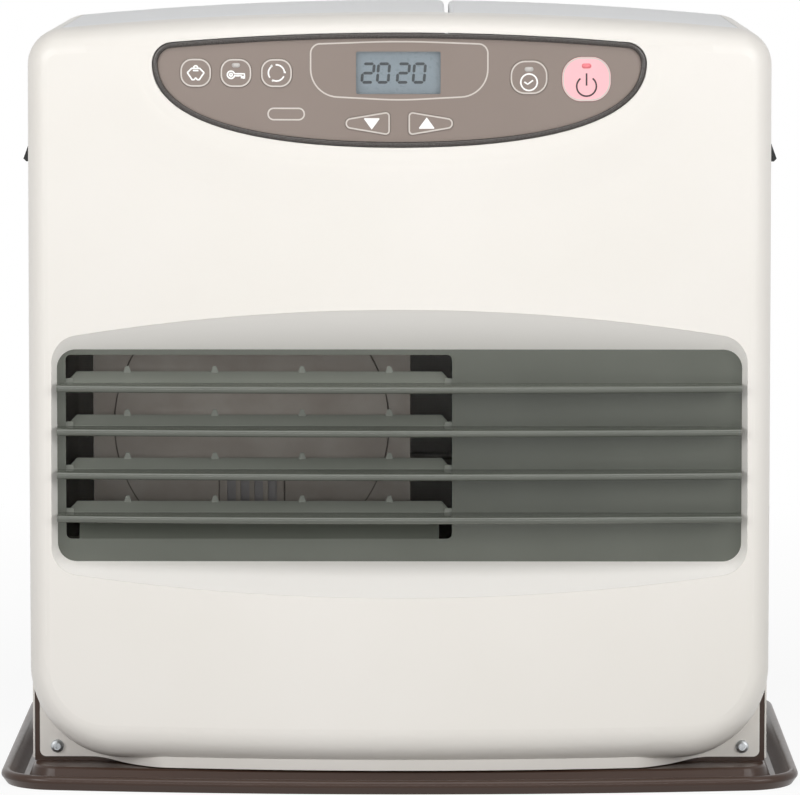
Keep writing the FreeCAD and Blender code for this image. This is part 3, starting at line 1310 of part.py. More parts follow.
def fuel_tank():
    """Lift-out tank: a sheet shell with a neck below and ears for the bail on top."""
    x = (TANK_X - TANK_WIDTH / 2, TANK_X + TANK_WIDTH / 2)
    y = (TANK_FRONT, TANK_FRONT + TANK_DEPTH)
    outer = prism(rounded(x, y, TANK_EDGE_R, level(TANK_BOTTOM)), V(0, 0, TANK_TOP - TANK_BOTTOM))
    rims = [e for e in outer.Edges if e.BoundBox.ZLength < 0.01]
    outer = outer.makeFillet(3 * SHEET, rims)
    room = rounded((x[0] + SHEET, x[1] - SHEET), (y[0] + SHEET, y[1] - SHEET), TANK_EDGE_R - SHEET,
                   level(TANK_BOTTOM + SHEET))
    inner = prism(room, V(0, 0, TANK_TOP - TANK_BOTTOM - 2 * SHEET))
    rims = [e for e in inner.Edges if e.BoundBox.ZLength < 0.01]
    inner = inner.makeFillet(2 * SHEET, rims)
    neck = rod(NECK_R, V(TANK_X, TANK_Y, TANK_BOTTOM - NECK_LENGTH), V(TANK_X, TANK_Y, TANK_BOTTOM + SHEET))
    mouth = rod(NECK_R - 1.5, V(TANK_X, TANK_Y, 0), V(TANK_X, TANK_Y, TANK_BOTTOM + 2 * SHEET))
    tank = outer.cut(inner).fuse(neck).cut(mouth)
    ear_r = BAIL_WIRE_R + 2.5
    for way in (-1, 1):
        ear_x = TANK_X + way * (BAIL_HALF - BAIL_BEND - 2) - EAR_THICK / 2
        circles = [(BAIL_Y, TANK_TOP, ear_r), (BAIL_Y, BAIL_Z, ear_r)]
        ear = prism(hull(circles, sideways(ear_x)), V(EAR_THICK, 0, 0))
        ear = ear.common(box((0, HALF), (y[0], y[1]), (TANK_TOP - SHEET / 2, HEIGHT)))
        start = V(ear_x - 1, BAIL_Y, BAIL_Z)
        bore = rod(BAIL_WIRE_R + FIT, start, start + V(EAR_THICK + 2, 0, 0))
        tank = tank.fuse(ear).cut(bore)
    return tank


def tank_cap():
    """Screw cap on the tank's neck, with grip flutes and a valve hole."""
    top = TANK_BOTTOM - FIT
    low = TANK_BOTTOM - NECK_LENGTH - CAP_FLOOR
    inner = NECK_R + FIT
    profile = [(VALVE_R, 0), (CAP_R, 0), (CAP_R, top - low), (inner, top - low), (inner, CAP_FLOOR - FIT),
               (VALVE_R, CAP_FLOOR - FIT)]
    cap = turned(profile, V(TANK_X, TANK_Y, low), V(0, 0, 1), V(1, 0, 0))
    flutes = []
    for k in range(CAP_FLUTES):
        turn = 2 * math.pi * k / CAP_FLUTES
        spot = V(TANK_X + CAP_R * math.cos(turn), TANK_Y + CAP_R * math.sin(turn), low - 1)
        flutes.append(rod(FLUTE_R, spot, spot + V(0, 0, top - low - 4)))
    return cap.cut(flutes)


def tank_bail():
    """Wire carrying handle, folded forward on the tank."""
    x0 = TANK_X - BAIL_HALF
    x1 = TANK_X + BAIL_HALF
    end = BAIL_BEND + 2 + EAR_THICK
    front = BAIL_Y - BAIL_REACH
    points = [V(x0 + end, BAIL_Y, BAIL_Z), V(x0, BAIL_Y, BAIL_Z), V(x0, front, BAIL_Z),
              V(x1, front, BAIL_Z), V(x1, BAIL_Y, BAIL_Z), V(x1 - end, BAIL_Y, BAIL_Z)]
    return swept(bent(points, BAIL_BEND), BAIL_WIRE_R)


def bail_grip():
    """Plastic sleeve on the bail."""
    y = BAIL_Y - BAIL_REACH
    ends = (V(TANK_X - GRIP_HALF, y, BAIL_Z), V(TANK_X + GRIP_HALF, y, BAIL_Z))
    return rod(GRIP_R, *ends).cut(rod(BAIL_WIRE_R, *ends))


def tank_gauge():
    """Clear fuel gauge window on the tank."""
    base = V(TANK_X + GAUGE_SPOT[0], TANK_Y + GAUGE_SPOT[1], TANK_TOP)
    profile = [(0, 0), (GAUGE_R, 0), (GAUGE_R, 1.5), (GAUGE_R - 2, 3.0), (0, 3.0)]
    return turned(profile, base, V(0, 0, 1), V(1, 0, 0))


def sump():
    """Fixed fuel sump under the tank, with a collar that the tank sits on."""
    x = (SUMP_LEFT, SUMP_RIGHT)
    y = (SUMP_FRONT, SUMP_REAR)
    outer = box(x, y, (FLOOR_Z, SUMP_TOP))
    inner = box((x[0] + SHEET, x[1] - SHEET), (y[0] + SHEET, y[1] - SHEET),
                (FLOOR_Z + SHEET, SUMP_TOP - SHEET))
    centre = V(TANK_X, TANK_Y, 0)
    collar = rod(COLLAR_R, centre + V(0, 0, SUMP_TOP - SHEET), centre + V(0, 0, TANK_BOTTOM))
    bore = rod(STRAINER_R + FIT, centre, centre + V(0, 0, STRAINER_SEAT))
    bore = bore.common(box(x, y, (SUMP_TOP - 2 * SHEET, HEIGHT)))
    mouth = rod(COLLAR_BORE, centre + V(0, 0, STRAINER_SEAT), centre + V(0, 0, TANK_BOTTOM + 1))
    suction = rod(PIPE_R + FIT, V(TANK_X, PUMP_Y, SUMP_TOP - 5), V(TANK_X, PUMP_Y, SUMP_TOP + 1))
    return outer.cut(inner).fuse(collar).cut([bore, mouth, suction])


def strainer():
    """Strainer cup hung in the sump's collar, with the pin that opens the tank's valve."""
    r = STRAINER_R
    wall = STRAINER_WALL
    deep = STRAINER_DEPTH
    rim = COLLAR_BORE - FIT
    profile = [(0, -deep), (r, -deep), (r, 0), (rim, 0), (rim, SHEET), (r - wall, SHEET),
               (r - wall, wall - deep), (VALVE_PIN_R, wall - deep),
               (VALVE_PIN_R, VALVE_PIN_HEIGHT - deep), (0, VALVE_PIN_HEIGHT - deep)]
    return turned(profile, V(TANK_X, TANK_Y, STRAINER_SEAT), V(0, 0, 1), V(1, 0, 0))


def fuel_pump():
    """Solenoid pump on the sump, with its suction pipe."""
    base = V(TANK_X, PUMP_Y, SUMP_TOP)
    r = PUMP_R
    tall = PUMP_HEIGHT
    neck = r - 4
    nut = 2 * PIPE_R
    profile = [(0, -PUMP_SUCTION), (PIPE_R, -PUMP_SUCTION), (PIPE_R, 0), (r + 5, 0), (r + 5, 2),
               (r - 2, 2), (r - 2, 8), (r, 8), (r, tall - 12), (neck, tall - 12),
               (neck, tall - 5), (nut, tall - 5), (nut, tall), (0, tall)]
    return turned(profile, base, V(0, 0, 1), V(1, 0, 0))


def fuel_pipe():
    """Copper pipe from the pump through the partition to the burner pot."""
    top = SUMP_TOP + PUMP_HEIGHT
    points = [V(TANK_X, PUMP_Y, top), V(TANK_X, PUMP_Y, PIPE_Z), V(PIPE_DROP_X, PUMP_Y, PIPE_Z),
              V(PIPE_DROP_X, PUMP_Y, PIPE_INLET_Z), V(PIPE_DROP_X, BURNER_Y, PIPE_INLET_Z),
              V(BURNER_X + POT_R + FIT, BURNER_Y, PIPE_INLET_Z)]
    return swept(bent(points, PIPE_BEND), PIPE_R)


def supply_board():
    """Supply board on standoffs over the heat shield."""
    x0, x1, y0, y1 = SUPPLY_BOARD
    low = SHIELD_Z + SHEET + STANDOFF
    board = box((x0, x1), (y0, y1), (low, low + BOARD_THICK))
    posts = []
    for x in (x0 + 6, x1 - 6):
        for y in (y0 + 6, y1 - 6):
            posts.append(rod(3.0, V(x, y, SHIELD_Z + SHEET), V(x, y, low)))
    return board.fuse(posts)


def transformer():
    """Transformer: winding block between its core plates."""
    x0, x1, y0, y1, tall = TRANSFORMER
    low = SHIELD_Z + SHEET + STANDOFF + BOARD_THICK
    core = box((x0, x1), (y0 + 10, y1 - 10), (low, low + tall))
    winding = box((x0 + 8, x1 - 8), (y0, y1), (low + 5, low + tall - 5))
    return core.fuse(winding)


def overheat_thermostat():
    """Snap disc thermostat on the heat shield."""
    base = V(THERMOSTAT_X, REAR_Y - THERMOSTAT_INSET, SHIELD_Z + SHEET)
    r = THERMOSTAT_R
    profile = [(0, 0), (r, 0), (r, 4), (r - 2, 4), (r - 2, 11), (0, 11)]
    return turned(profile, base, V(0, 0, 1), V(1, 0, 0))


def tilt_switch():
    """Safety switch that trips when the heater is knocked."""
    half = TILT_SIDE / 2
    x = TILT_SIDE_GAP + half - HALF
    y = REAR_IN - TILT_REAR_GAP - half
    outline = rounded((x - half, x + half), (y - half, y + half), 3.0, level(FLOOR_Z))
    top = V(x, y, FLOOR_Z + TILT_TALL)
    return prism(outline, V(0, 0, TILT_TALL)).fuse(rod(7.0, top, top + V(0, 0, 5)))


def cord_gland():
    """Bush for the mains cord in the rear panel."""
    base = V(GLAND_AT[0], REAR_Y, GLAND_AT[1])
    body = GLAND_R - FIT
    seat = -SHEET - FIT
    profile = [(GLAND_BORE, -GLAND_INNER), (body + SHEET, -GLAND_INNER), (body + SHEET, seat), (body, seat),
               (body, 0), (GLAND_R + 3, 0), (GLAND_R + 2, 3), (body - 1, 4), (body - 1.6, GLAND_OUTER),
               (GLAND_BORE, GLAND_OUTER)]
    return turned(profile, base, V(0, 1, 0), V(1, 0, 0))


def room_sensor():
    """Room temperature sensor in a vented clip on the rear panel."""
    x = SENSOR_X
    z = TOP_SPLIT_Z - SENSOR_DROP
    clip = prism(rounded((x - 7, x + 7), (z - 14, z + 14), 3.0, across(REAR_Y)), V(0, 8, 0))
    slots = [box((x - 5, x + 5), (REAR_Y + 2, REAR_Y + 9), (z + s, z + s + 2)) for s in (-8, -3, 2, 7)]
    return clip.cut(slots)


def screw(at, length):
    """Pan-head screw driven towards the rear, seen from the front."""
    r = SCREW_HEAD_R
    top = -SCREW_HEAD
    profile = [(0, top), (r * 0.55, top), (r * 0.9, top * 0.6), (r, top * 0.2), (r, 0),
               (SCREW_R, 0), (SCREW_R, length), (0, length)]
    head = turned(profile, at, V(0, 1, 0), V(1, 0, 0))
    cross = []
    for wide, tall in ((CROSS_LENGTH, CROSS_WIDTH), (CROSS_WIDTH, CROSS_LENGTH)):
        x = (at.x - wide / 2, at.x + wide / 2)
        z = (at.z - tall / 2, at.z + tall / 2)
        cross.append(box(x, (at.y + top - 1, at.y + top + CROSS_DEPTH), z))
    return head.cut(cross)


def front_screws():
    """Screws through the cover's corner plates."""
    spots = [V(x, PLATE_Y, FRONT_SCREW_Z) for x in (-FRONT_SCREW_X, FRONT_SCREW_X)]
    return Part.makeCompound([screw(at, SCREW_LENGTH) for at in spots])


def rear_screws():
    """Screws through the rear panel into the side panels' flanges."""
    screws = []
    for x in (-REAR_SCREW_X, REAR_SCREW_X):
        for z in REAR_SCREW_Z:
            one = screw(V(-x, -REAR_Y, z), SCREW_LENGTH)
            one.rotate(V(0, 0, 0), V(0, 0, 1), 180)
            screws.append(one)
    return Part.makeCompound(screws)


def build():
    """Make every piece and write it out."""
    keys = key_outlines()
    shell = cabinet_form(0.0).cut(cabinet_form(SHEET))
    right_panel = side_panel(shell)
    right_grip = grip()
    pieces = {
        "drip_tray": drip_tray(),
        "base_pan": base_pan(),
        "left_side_panel": mirrored(right_panel),
        "right_side_panel": right_panel,
        "rear_panel": rear_panel(shell),
        "top_plate": top_piece(SEAM - SIDE_TURN, PLATE_RIGHT, 1, TOP_SPLIT_Z),
        "tank_lid": tank_lid(),
        "lid_hinge_pins": lid_hinge_pins(),
        "left_grip": mirrored(right_grip),
        "right_grip": right_grip,
        "front_cover": front_cover(),
        "front_screws": front_screws(),
        "rear_screws": rear_screws(),
        "fascia": fascia(keys),
        "fascia_bezel": fascia_bezel(),
        "display_window": through_front(display_outline, WINDOW_SINK, WINDOW_BACK),
        "lcd_module": lcd_module(),
        "control_board": control_board(keys),
        "louvre_panel": louvre_panel(),
        "louvre_bars": louvre_bars(),
        "louvre_vanes": louvre_vanes(),
        "partition": partition(),
        "heat_shield": heat_shield(),
        "air_box": air_box(),
        "burner_pot": burner_pot(),
        "burner_head": burner_head(),
        "combustion_chamber": combustion_chamber(),
        "chamber_front": chamber_front(),
        "igniter": igniter(),
        "flame_rod": flame_rod(),
        "blower_housing": blower_housing(),
        "blower_impeller": blower_impeller(),
        "blower_motor": blower_motor(),
        "convection_fan": convection_fan(),
        "fan_motor": fan_motor(),
        "air_filter": air_filter(),
        "fuel_tank": fuel_tank(),
        "tank_cap": tank_cap(),
        "tank_bail": tank_bail(),
        "bail_grip": bail_grip(),
        "tank_gauge": tank_gauge(),
        "sump": sump(),
        "strainer": strainer(),
        "fuel_pump": fuel_pump(),
        "fuel_pipe": fuel_pipe(),
        "supply_board": supply_board(),
        "transformer": transformer(),
        "overheat_thermostat": overheat_thermostat(),
        "tilt_switch": tilt_switch(),
        "cord_gland": cord_gland(),
        "room_sensor": room_sensor(),
    }
    for name, at, outline in keys:
        pieces[name] = key(at, outline)
    os.makedirs("parts", exist_ok=True)
    for name, shape in pieces.items():
        shape.exportStep("parts/" + name + ".step")
        print(name, len(shape.Solids), shape.isValid(), round(shape.Volume))


build()
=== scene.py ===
"""Looks of an electronic paraffin fan heater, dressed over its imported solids.

Z is up and the front faces -Y. Meshes are in metres; the sizes in the classes
are in millimetres, as on a workshop drawing.
"""

import json
import logging
import math
from dataclasses import dataclass
from enum import Enum
from typing import Mapping, Sequence

import bpy
import numpy as np
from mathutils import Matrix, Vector


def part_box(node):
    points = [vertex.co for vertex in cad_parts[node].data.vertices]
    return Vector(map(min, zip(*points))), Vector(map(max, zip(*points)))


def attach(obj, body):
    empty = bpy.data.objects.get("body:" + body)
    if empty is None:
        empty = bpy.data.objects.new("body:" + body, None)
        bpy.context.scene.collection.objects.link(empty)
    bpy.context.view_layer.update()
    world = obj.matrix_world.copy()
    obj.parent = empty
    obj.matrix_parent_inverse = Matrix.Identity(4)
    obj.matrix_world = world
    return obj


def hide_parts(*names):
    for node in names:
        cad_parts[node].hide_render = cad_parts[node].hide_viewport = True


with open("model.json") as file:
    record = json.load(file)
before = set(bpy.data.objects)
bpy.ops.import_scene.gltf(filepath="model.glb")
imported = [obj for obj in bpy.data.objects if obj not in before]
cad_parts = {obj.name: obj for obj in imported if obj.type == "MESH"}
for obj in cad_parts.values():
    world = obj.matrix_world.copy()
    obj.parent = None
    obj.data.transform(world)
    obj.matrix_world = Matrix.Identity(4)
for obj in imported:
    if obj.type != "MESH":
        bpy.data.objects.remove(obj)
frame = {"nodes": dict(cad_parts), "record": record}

MM = 0.001
log = logging.getLogger("heater")

Colour = tuple[float, float, float, float]
Point2 = tuple[float, float]
Point3 = tuple[float, float, float]
# A line of an icon, and whether it is closed.
Stroke = tuple[Sequence[Point2], bool]

# Colour sockets of the Mix node, which share their names with its number sockets.
MIX_A, MIX_B, MIX_COLOUR = 6, 7, 2
# Faces that meet at more than this angle shade as an edge.
SHARP_DEG = 40.0


def linear(tone: str, alpha: float = 1.0) -> Colour:
    """Turn an sRGB hex colour into linear light.

    Args:
        tone: Six hex digits, such as "f7f5f0".
        alpha: Opacity.

    Returns:
        Linear red, green, blue and alpha.
    """
    parts = [int(tone[i:i + 2], 16) / 255.0 for i in (0, 2, 4)]
    red, green, blue = (c / 12.92 if c <= 0.04045 else ((c + 0.055) / 1.055) ** 2.4 for c in parts)
    return (red, green, blue, alpha)


def add_node(tree: bpy.types.NodeTree, kind: str, settings: Mapping | None = None,
             links: Mapping | None = None) -> bpy.types.Node:
    """Add a node with its settings and links.

    Args:
        tree: Tree that gets the node.
        kind: Blender's name of the node type.
        settings: Property name, or input name or index, to value.
        links: Input name or index to the output socket that feeds it.

    Returns:
        The new node.
    """
    node = tree.nodes.new(kind)
    for name, value in (settings or {}).items():
        if isinstance(name, str) and hasattr(node, name):
            setattr(node, name, value)
        else:
            node.inputs[name].default_value = value
    for name, source in (links or {}).items():
        tree.links.new(source, node.inputs[name])
    return node


@dataclass(frozen=True)
class FrontSurface:
    """The pressed front: a bow across, leaning back above and below its belly."""

    bow_r: float = 870.0
    front_y: float = -151.0
    lean: float = 8.0
    belly_z: float = 110.0
    top_z: float = 429.0

    def lean_at(self, z: float) -> float:
        """How far the front leans back at a height."""
        return self.lean * ((z - self.belly_z) / (self.top_z - self.belly_z)) ** 2

    def point(self, x: float, z: float, inset: float = 0.0) -> Vector:
        """Find a point on the front or behind it.

        Args:
            x: Place across, in millimetres.
            z: Height, in millimetres.
            inset: Depth behind the surface, in millimetres.

        Returns:
            The point, in metres.
        """
        radius = self.bow_r - self.lean_at(z) - inset
        return Vector((x, self.front_y + self.bow_r - math.sqrt(radius ** 2 - x ** 2), z)) * MM

    def normal(self, x: float, z: float) -> Vector:
        """Find the outward direction of the front.

        Args:
            x: Place across, in millimetres.
            z: Height, in millimetres.

        Returns:
            A direction of length one.
        """
        slope = 2 * self.lean * (z - self.belly_z) / (self.top_z - self.belly_z) ** 2
        radius = self.bow_r - self.lean_at(z)
        return Vector((x / radius, -math.sqrt(1 - (x / radius) ** 2), slope)).normalized()


FRONT = FrontSurface()


@dataclass(frozen=True)
class Finish:
    """A surface finish: what it is made of and what that gives the eye.

    The tone drifts slowly towards the deep tone in patches, and a grain sets
    the small unevenness of the surface and of its gloss.
    """

    name: str
    tone: str
    deep: str
    roughness: float
    metallic: float = 0.0
    coat: float = 0.0
    specular: float = 0.5
    patch_mm: float = 90.0
    grain_mm: float = 1.6
    grain_depth_mm: float = 0.02
    gloss_spread: float = 0.04
    alpha: float = 1.0
    grain_range: Point2 = (0.3, 0.7)
    patch_range: Point2 = (0.35, 0.7)
    coat_roughness: float = 0.12

    def build(self) -> bpy.types.Material:
        """Make the node material.

        Returns:
            The material, named for the finish.
        """
        material = bpy.data.materials.new(self.name)
        material.use_nodes = True
        tree = material.node_tree
        tree.nodes.clear()
        place = add_node(tree, "ShaderNodeTexCoord").outputs["Object"]
        grain = add_node(tree, "ShaderNodeTexNoise", {"Scale": 1.0 / (self.grain_mm * MM), "Detail": 2.0},
                         {"Vector": place})
        low, high = self.grain_range
        gloss = add_node(tree, "ShaderNodeMapRange",
                         {"From Min": low, "From Max": high, "To Min": self.roughness - self.gloss_spread,
                          "To Max": self.roughness + self.gloss_spread}, {"Value": grain.outputs["Fac"]})
        bump = add_node(tree, "ShaderNodeBump", {"Strength": 1.0, "Distance": self.grain_depth_mm * MM},
                        {"Height": grain.outputs["Fac"]})
        shader = add_node(tree, "ShaderNodeBsdfPrincipled",
                          {"Metallic": self.metallic, "Coat Weight": self.coat,
                           "Coat Roughness": self.coat_roughness, "Specular IOR Level": self.specular,
                           "Alpha": self.alpha},
                          {"Base Color": self.colour(tree, place), "Roughness": gloss.outputs["Result"],
                           "Normal": bump.outputs["Normal"]})
        add_node(tree, "ShaderNodeOutputMaterial", None, {"Surface": shader.outputs["BSDF"]})
        return material

    def colour(self, tree: bpy.types.NodeTree, place: bpy.types.NodeSocket) -> bpy.types.NodeSocket:
        """Make the colour, which drifts in patches.

        Args:
            tree: The material's tree.
            place: Place on the piece.

        Returns:
            The socket that gives the colour.
        """
        patches = add_node(tree, "ShaderNodeTexNoise", {"Scale": 1.0 / (self.patch_mm * MM), "Detail": 3.0},
                           {"Vector": place})
        low, high = self.patch_range
        drift = add_node(tree, "ShaderNodeMapRange", {"From Min": low, "From Max": high},
                         {"Value": patches.outputs["Fac"]})
        tones = add_node(tree, "ShaderNodeMix",
                         {"data_type": "RGBA", MIX_A: linear(self.tone), MIX_B: linear(self.deep)},
                         {"Factor": drift.outputs["Result"]})
        return tones.outputs[MIX_COLOUR]


@dataclass(frozen=True)
class PressedEnamel(Finish):
    """Enamel of the front, with a whiter tone painted on the slopes pressed in around the outlet: painted
    light that brightens their shade.
    """

    painted_light_tone: str = "faf7f2"
    step_mm: Point2 = (0.2, 0.5)
    half_mm: float = 196.0
    middle_mm: float = 185.0
    reach_mm: float = 100.0

    def colour(self, tree: bpy.types.NodeTree, place: bpy.types.NodeSocket) -> bpy.types.NodeSocket:
        """Mix the slopes' painted light, a whiter tone, in behind the bowed front.

        Args:
            tree: The material's tree.
            place: Place on the piece.

        Returns:
            The socket that gives the colour.
        """
        axes = add_node(tree, "ShaderNodeSeparateXYZ", None, {"Vector": place})
        centre = (0.0, (FRONT.front_y + FRONT.bow_r) * MM, 0.0)
        away = add_node(tree, "ShaderNodeVectorMath", {"operation": "SUBTRACT", 1: centre}, {0: place})
        level = add_node(tree, "ShaderNodeVectorMath", {"operation": "MULTIPLY", 1: (1.0, 1.0, 0.0)},
                         {0: away.outputs["Vector"]})
        radius = add_node(tree, "ShaderNodeVectorMath", {"operation": "LENGTH"}, {0: level.outputs["Vector"]})
        rise = add_node(tree, "ShaderNodeMapRange",
                        {"clamp": False, "From Min": FRONT.belly_z * MM, "From Max": FRONT.top_z * MM},
                        {"Value": axes.outputs["Z"]})
        square = add_node(tree, "ShaderNodeMath", {"operation": "MULTIPLY"},
                          {0: rise.outputs["Result"], 1: rise.outputs["Result"]})
        upright = add_node(tree, "ShaderNodeMath", {"operation": "MULTIPLY_ADD", 1: FRONT.lean * MM},
                           {0: square.outputs[0], 2: radius.outputs["Value"]})
        near, far = ((FRONT.bow_r - depth) * MM for depth in self.step_mm)
        behind = add_node(tree, "ShaderNodeMapRange", {"From Min": near, "From Max": far},
                          {"Value": upright.outputs[0]})
        across = add_node(tree, "ShaderNodeMath", {"operation": "COMPARE", 1: 0.0, 2: self.half_mm * MM},
                          {0: axes.outputs["X"]})
        height = add_node(tree, "ShaderNodeMath",
                          {"operation": "COMPARE", 1: self.middle_mm * MM, 2: self.reach_mm * MM},
                          {0: axes.outputs["Z"]})
        window = add_node(tree, "ShaderNodeMath", {"operation": "MULTIPLY"},
                          {0: across.outputs[0], 1: height.outputs[0]})
        share = add_node(tree, "ShaderNodeMath", {"operation": "MULTIPLY"},
                         {0: window.outputs[0], 1: behind.outputs["Result"]})
        # Painted light: the recess slopes get a whiter tone than the front.
        tones = add_node(tree, "ShaderNodeMix", {"data_type": "RGBA", MIX_B: linear(self.painted_light_tone)},
                         {"Factor": share.outputs[0], MIX_A: super().colour(tree, place)})
        return tones.outputs[MIX_COLOUR]


class Surface(Enum):
    """Every finish on the heater."""

    # Baked enamel on steel sheet: clean warm white, a faint orange peel, a satin shine.
    WHITE_ENAMEL = Finish("white_baked_enamel", "e8e4de", "e5e1da", 0.36, grain_mm=2.4, grain_depth_mm=0.012,
                          patch_mm=140.0)
    # The same enamel on the pressed front, with painted light: a whiter tone on the slopes around the outlet,
    # which brightens their shade.
    FRONT_ENAMEL = PressedEnamel("white_baked_enamel_front", "e8e4de", "e5e1da", 0.36, grain_mm=2.4,
                                 grain_depth_mm=0.012, patch_mm=140.0)
    # The same enamel on the flat top sheets: cooler, with less shine.
    TOP_ENAMEL = Finish("cool_white_enamel_top_sheet", "eff0f1", "ecedee", 0.44, grain_mm=2.4,
                        grain_depth_mm=0.012, patch_mm=140.0)
    # Coated steel of the rear: a little greyer and duller than the front.
    REAR_ENAMEL = Finish("rear_coated_steel", "dedcd6", "d6d4ce", 0.45, grain_mm=1.2, grain_depth_mm=0.015)
    # Wet enamel on the pressed tray: deep brown that mirrors what stands on it.
    BROWN_ENAMEL = Finish("brown_gloss_enamel", "3f2c22", "3b2920", 0.3, grain_mm=3.0, grain_depth_mm=0.003,
                          specular=0.35, gloss_spread=0.02)
    # Heat-proof paint: grey with a green cast, satin.
    GREY_ENAMEL = Finish("grey_heatproof_paint", "62655d", "5e6159", 0.34, grain_mm=0.8, grain_depth_mm=0.001,
                         specular=0.35, patch_mm=45.0)
    # The same paint on the rolled bars, glossier where it was drawn over the bend.
    BAR_ENAMEL = Finish("grey_heatproof_paint_gloss", "5c5f57", "575a52", 0.2, grain_mm=0.8,
                        grain_depth_mm=0.001, specular=0.6, patch_mm=45.0)
    # The same paint on the vanes, lighter in tone: painted light for the vanes, which lie in the shade behind
    # the bars.
    VANE_ENAMEL = Finish("grey_heatproof_paint_bleached", "83867e", "7d8078", 0.36, grain_mm=0.8,
                         grain_depth_mm=0.001, specular=0.35, patch_mm=45.0)
    # Steel near the flame: dull, tinted brown by the heat, and lighter in tone than the sheet is: painted
    # light for the shade inside the chamber.
    TINTED_STEEL = Finish("heat_tinted_steel", "958f87", "877f77", 0.5, metallic=0.15, patch_mm=30.0)
    # Sprayed plastic of the fascia: a soft warm brown with hardly any shine.
    FASCIA = Finish("fascia_satin_plastic", "887b73", "84776f", 0.5, grain_mm=0.5, grain_depth_mm=0.006)
    # Moulded dark plastic of the bezel: smooth enough for a thin highlight along its bead.
    BEZEL = Finish("bezel_dark_plastic", "3f3a37", "3a3532", 0.28, grain_mm=0.6, grain_depth_mm=0.006)
    # Moulded pink plastic of the power key: even and satin.
    PINK_KEY = Finish("power_key_pink_plastic", "f9bcc1", "f7b6bc", 0.42, grain_mm=0.6, grain_depth_mm=0.006)
    # Glass of the display: flat blue-grey behind its segments.
    DISPLAY = Finish("display_glass", "87939a", "838f97", 0.3, grain_mm=2.0, grain_depth_mm=0.0)
    # Clear acrylic: a faint film over what lies behind it.
    CLEAR = Finish("clear_window_plastic", "9aa3a8", "959ea3", 0.25, alpha=0.06, specular=0.15,
                   grain_depth_mm=0.0)
    # Glass-filled nylon of the grips: near black, fine spark-eroded grain.
    BLACK_PLASTIC = Finish("black_grained_nylon", "1d1d1e", "181819", 0.55, grain_mm=0.7, grain_depth_mm=0.03)
    # Moulded polypropylene: mid grey and dull.
    GREY_PLASTIC = Finish("grey_moulded_plastic", "8e8f8e", "868786", 0.5, grain_mm=0.8, grain_depth_mm=0.02)
    # Galvanised sheet: spangled zinc with a cool shine.
    ZINC_STEEL = Finish("galvanised_sheet_steel", "c3c6c8", "a9adb0", 0.38, metallic=1.0, patch_mm=9.0)
    # Plated steel of the tank: a soft shine in cloudy patches.
    TANK_STEEL = Finish("plated_tank_steel", "b9b8b2", "adaca6", 0.34, metallic=0.85, patch_mm=50.0)
    # Stamped aluminium of the fan: the brightest metal inside.
    ALUMINIUM = Finish("stamped_aluminium", "cfd2d4", "c3c6c9", 0.32, metallic=1.0, patch_mm=20.0)
    # Plated brass of the tank cap: warm yellow, a little clouded.
    BRASS = Finish("plated_brass", "c9ab62", "b99a52", 0.3, metallic=1.0, patch_mm=12.0)
    # Drawn copper pipe, tinned: a dull warm grey.
    COPPER = Finish("tinned_copper_pipe", "c2bdb6", "b4aea6", 0.5, metallic=0.2, patch_mm=12.0)
    # Cast iron of the burner pot: rough sand-cast skin, nearly black.
    CAST_IRON = Finish("cast_iron", "4d4a47", "423f3c", 0.7, metallic=0.6, grain_mm=1.0, grain_depth_mm=0.1)
    # Plated steel of the motor cans: grey and half bright.
    MOTOR_STEEL = Finish("motor_plated_steel", "8e8f91", "7f8083", 0.4, metallic=0.9, patch_mm=14.0)
    # Glass-epoxy laminate under solder resist: green, a little glossy.
    BOARD = Finish("circuit_board_laminate", "2f6b45", "275b3a", 0.4, grain_mm=1.5, grain_depth_mm=0.03)
    # Fired ceramic: off-white with a low shine.
    CERAMIC = Finish("white_ceramic", "e6e1d8", "dcd6cb", 0.4)
    # Screen-printed inks: matt films, a little uneven at their edges.
    RING_INK = Finish("stone_screen_ink", "cfc8c1", "c8c0b8", 0.55, grain_mm=0.4, grain_depth_mm=0.004)
    WHITE_INK = Finish("white_screen_ink", "fbfaf8", "f4f2ef", 0.5, grain_mm=0.4, grain_depth_mm=0.004)
    DARK_INK = Finish("dark_screen_ink", "3a2f30", "332829", 0.5, grain_mm=0.4, grain_depth_mm=0.004)
    # Liquid crystal that is switched on: dark and flat.
    LCD_INK = Finish("liquid_crystal_segment", "2c3134", "282d30", 0.5, grain_mm=0.4, grain_depth_mm=0.002)
    # Moulded lamp lenses, unlit: a tinted body under a clear skin.
    GREY_LENS = Finish("grey_lamp_lens", "c2bdb9", "bab5b1", 0.3, grain_mm=0.4, grain_depth_mm=0.004,
                       coat=0.3)
    RED_LENS = Finish("red_lamp_lens", "ee7f86", "e8757d", 0.3, grain_mm=0.4, grain_depth_mm=0.004, coat=0.3)
    # Woven nylon net: grey and dull. Its threads are drawn coarser than real ones, so that they show.
    FILTER_NET = Finish("woven_filter_net", "6f7174", "66686b", 0.6, grain_mm=0.6, grain_depth_mm=0.02)
    # Dark brown-grey lines along the joints of the chamber sheets: painted shade of the seams.
    DARK_JOINT = Finish("sooty_joint", "6a635d", "625b55", 0.7, grain_mm=0.6, grain_depth_mm=0.02)
    # Grey sheet behind the vent: painted light, so that the vent shows grey where the closed chamber is dark.
    MICA = Finish("smoked_mica_pane", "8a8787", "807d7d", 0.35, grain_mm=3.0, grain_depth_mm=0.02,
                  patch_mm=8.0)

    @property
    def material(self) -> bpy.types.Material:
        """The finish's material, made on first use."""
        found = bpy.data.materials.get(self.value.name)
        return found or self.value.build()


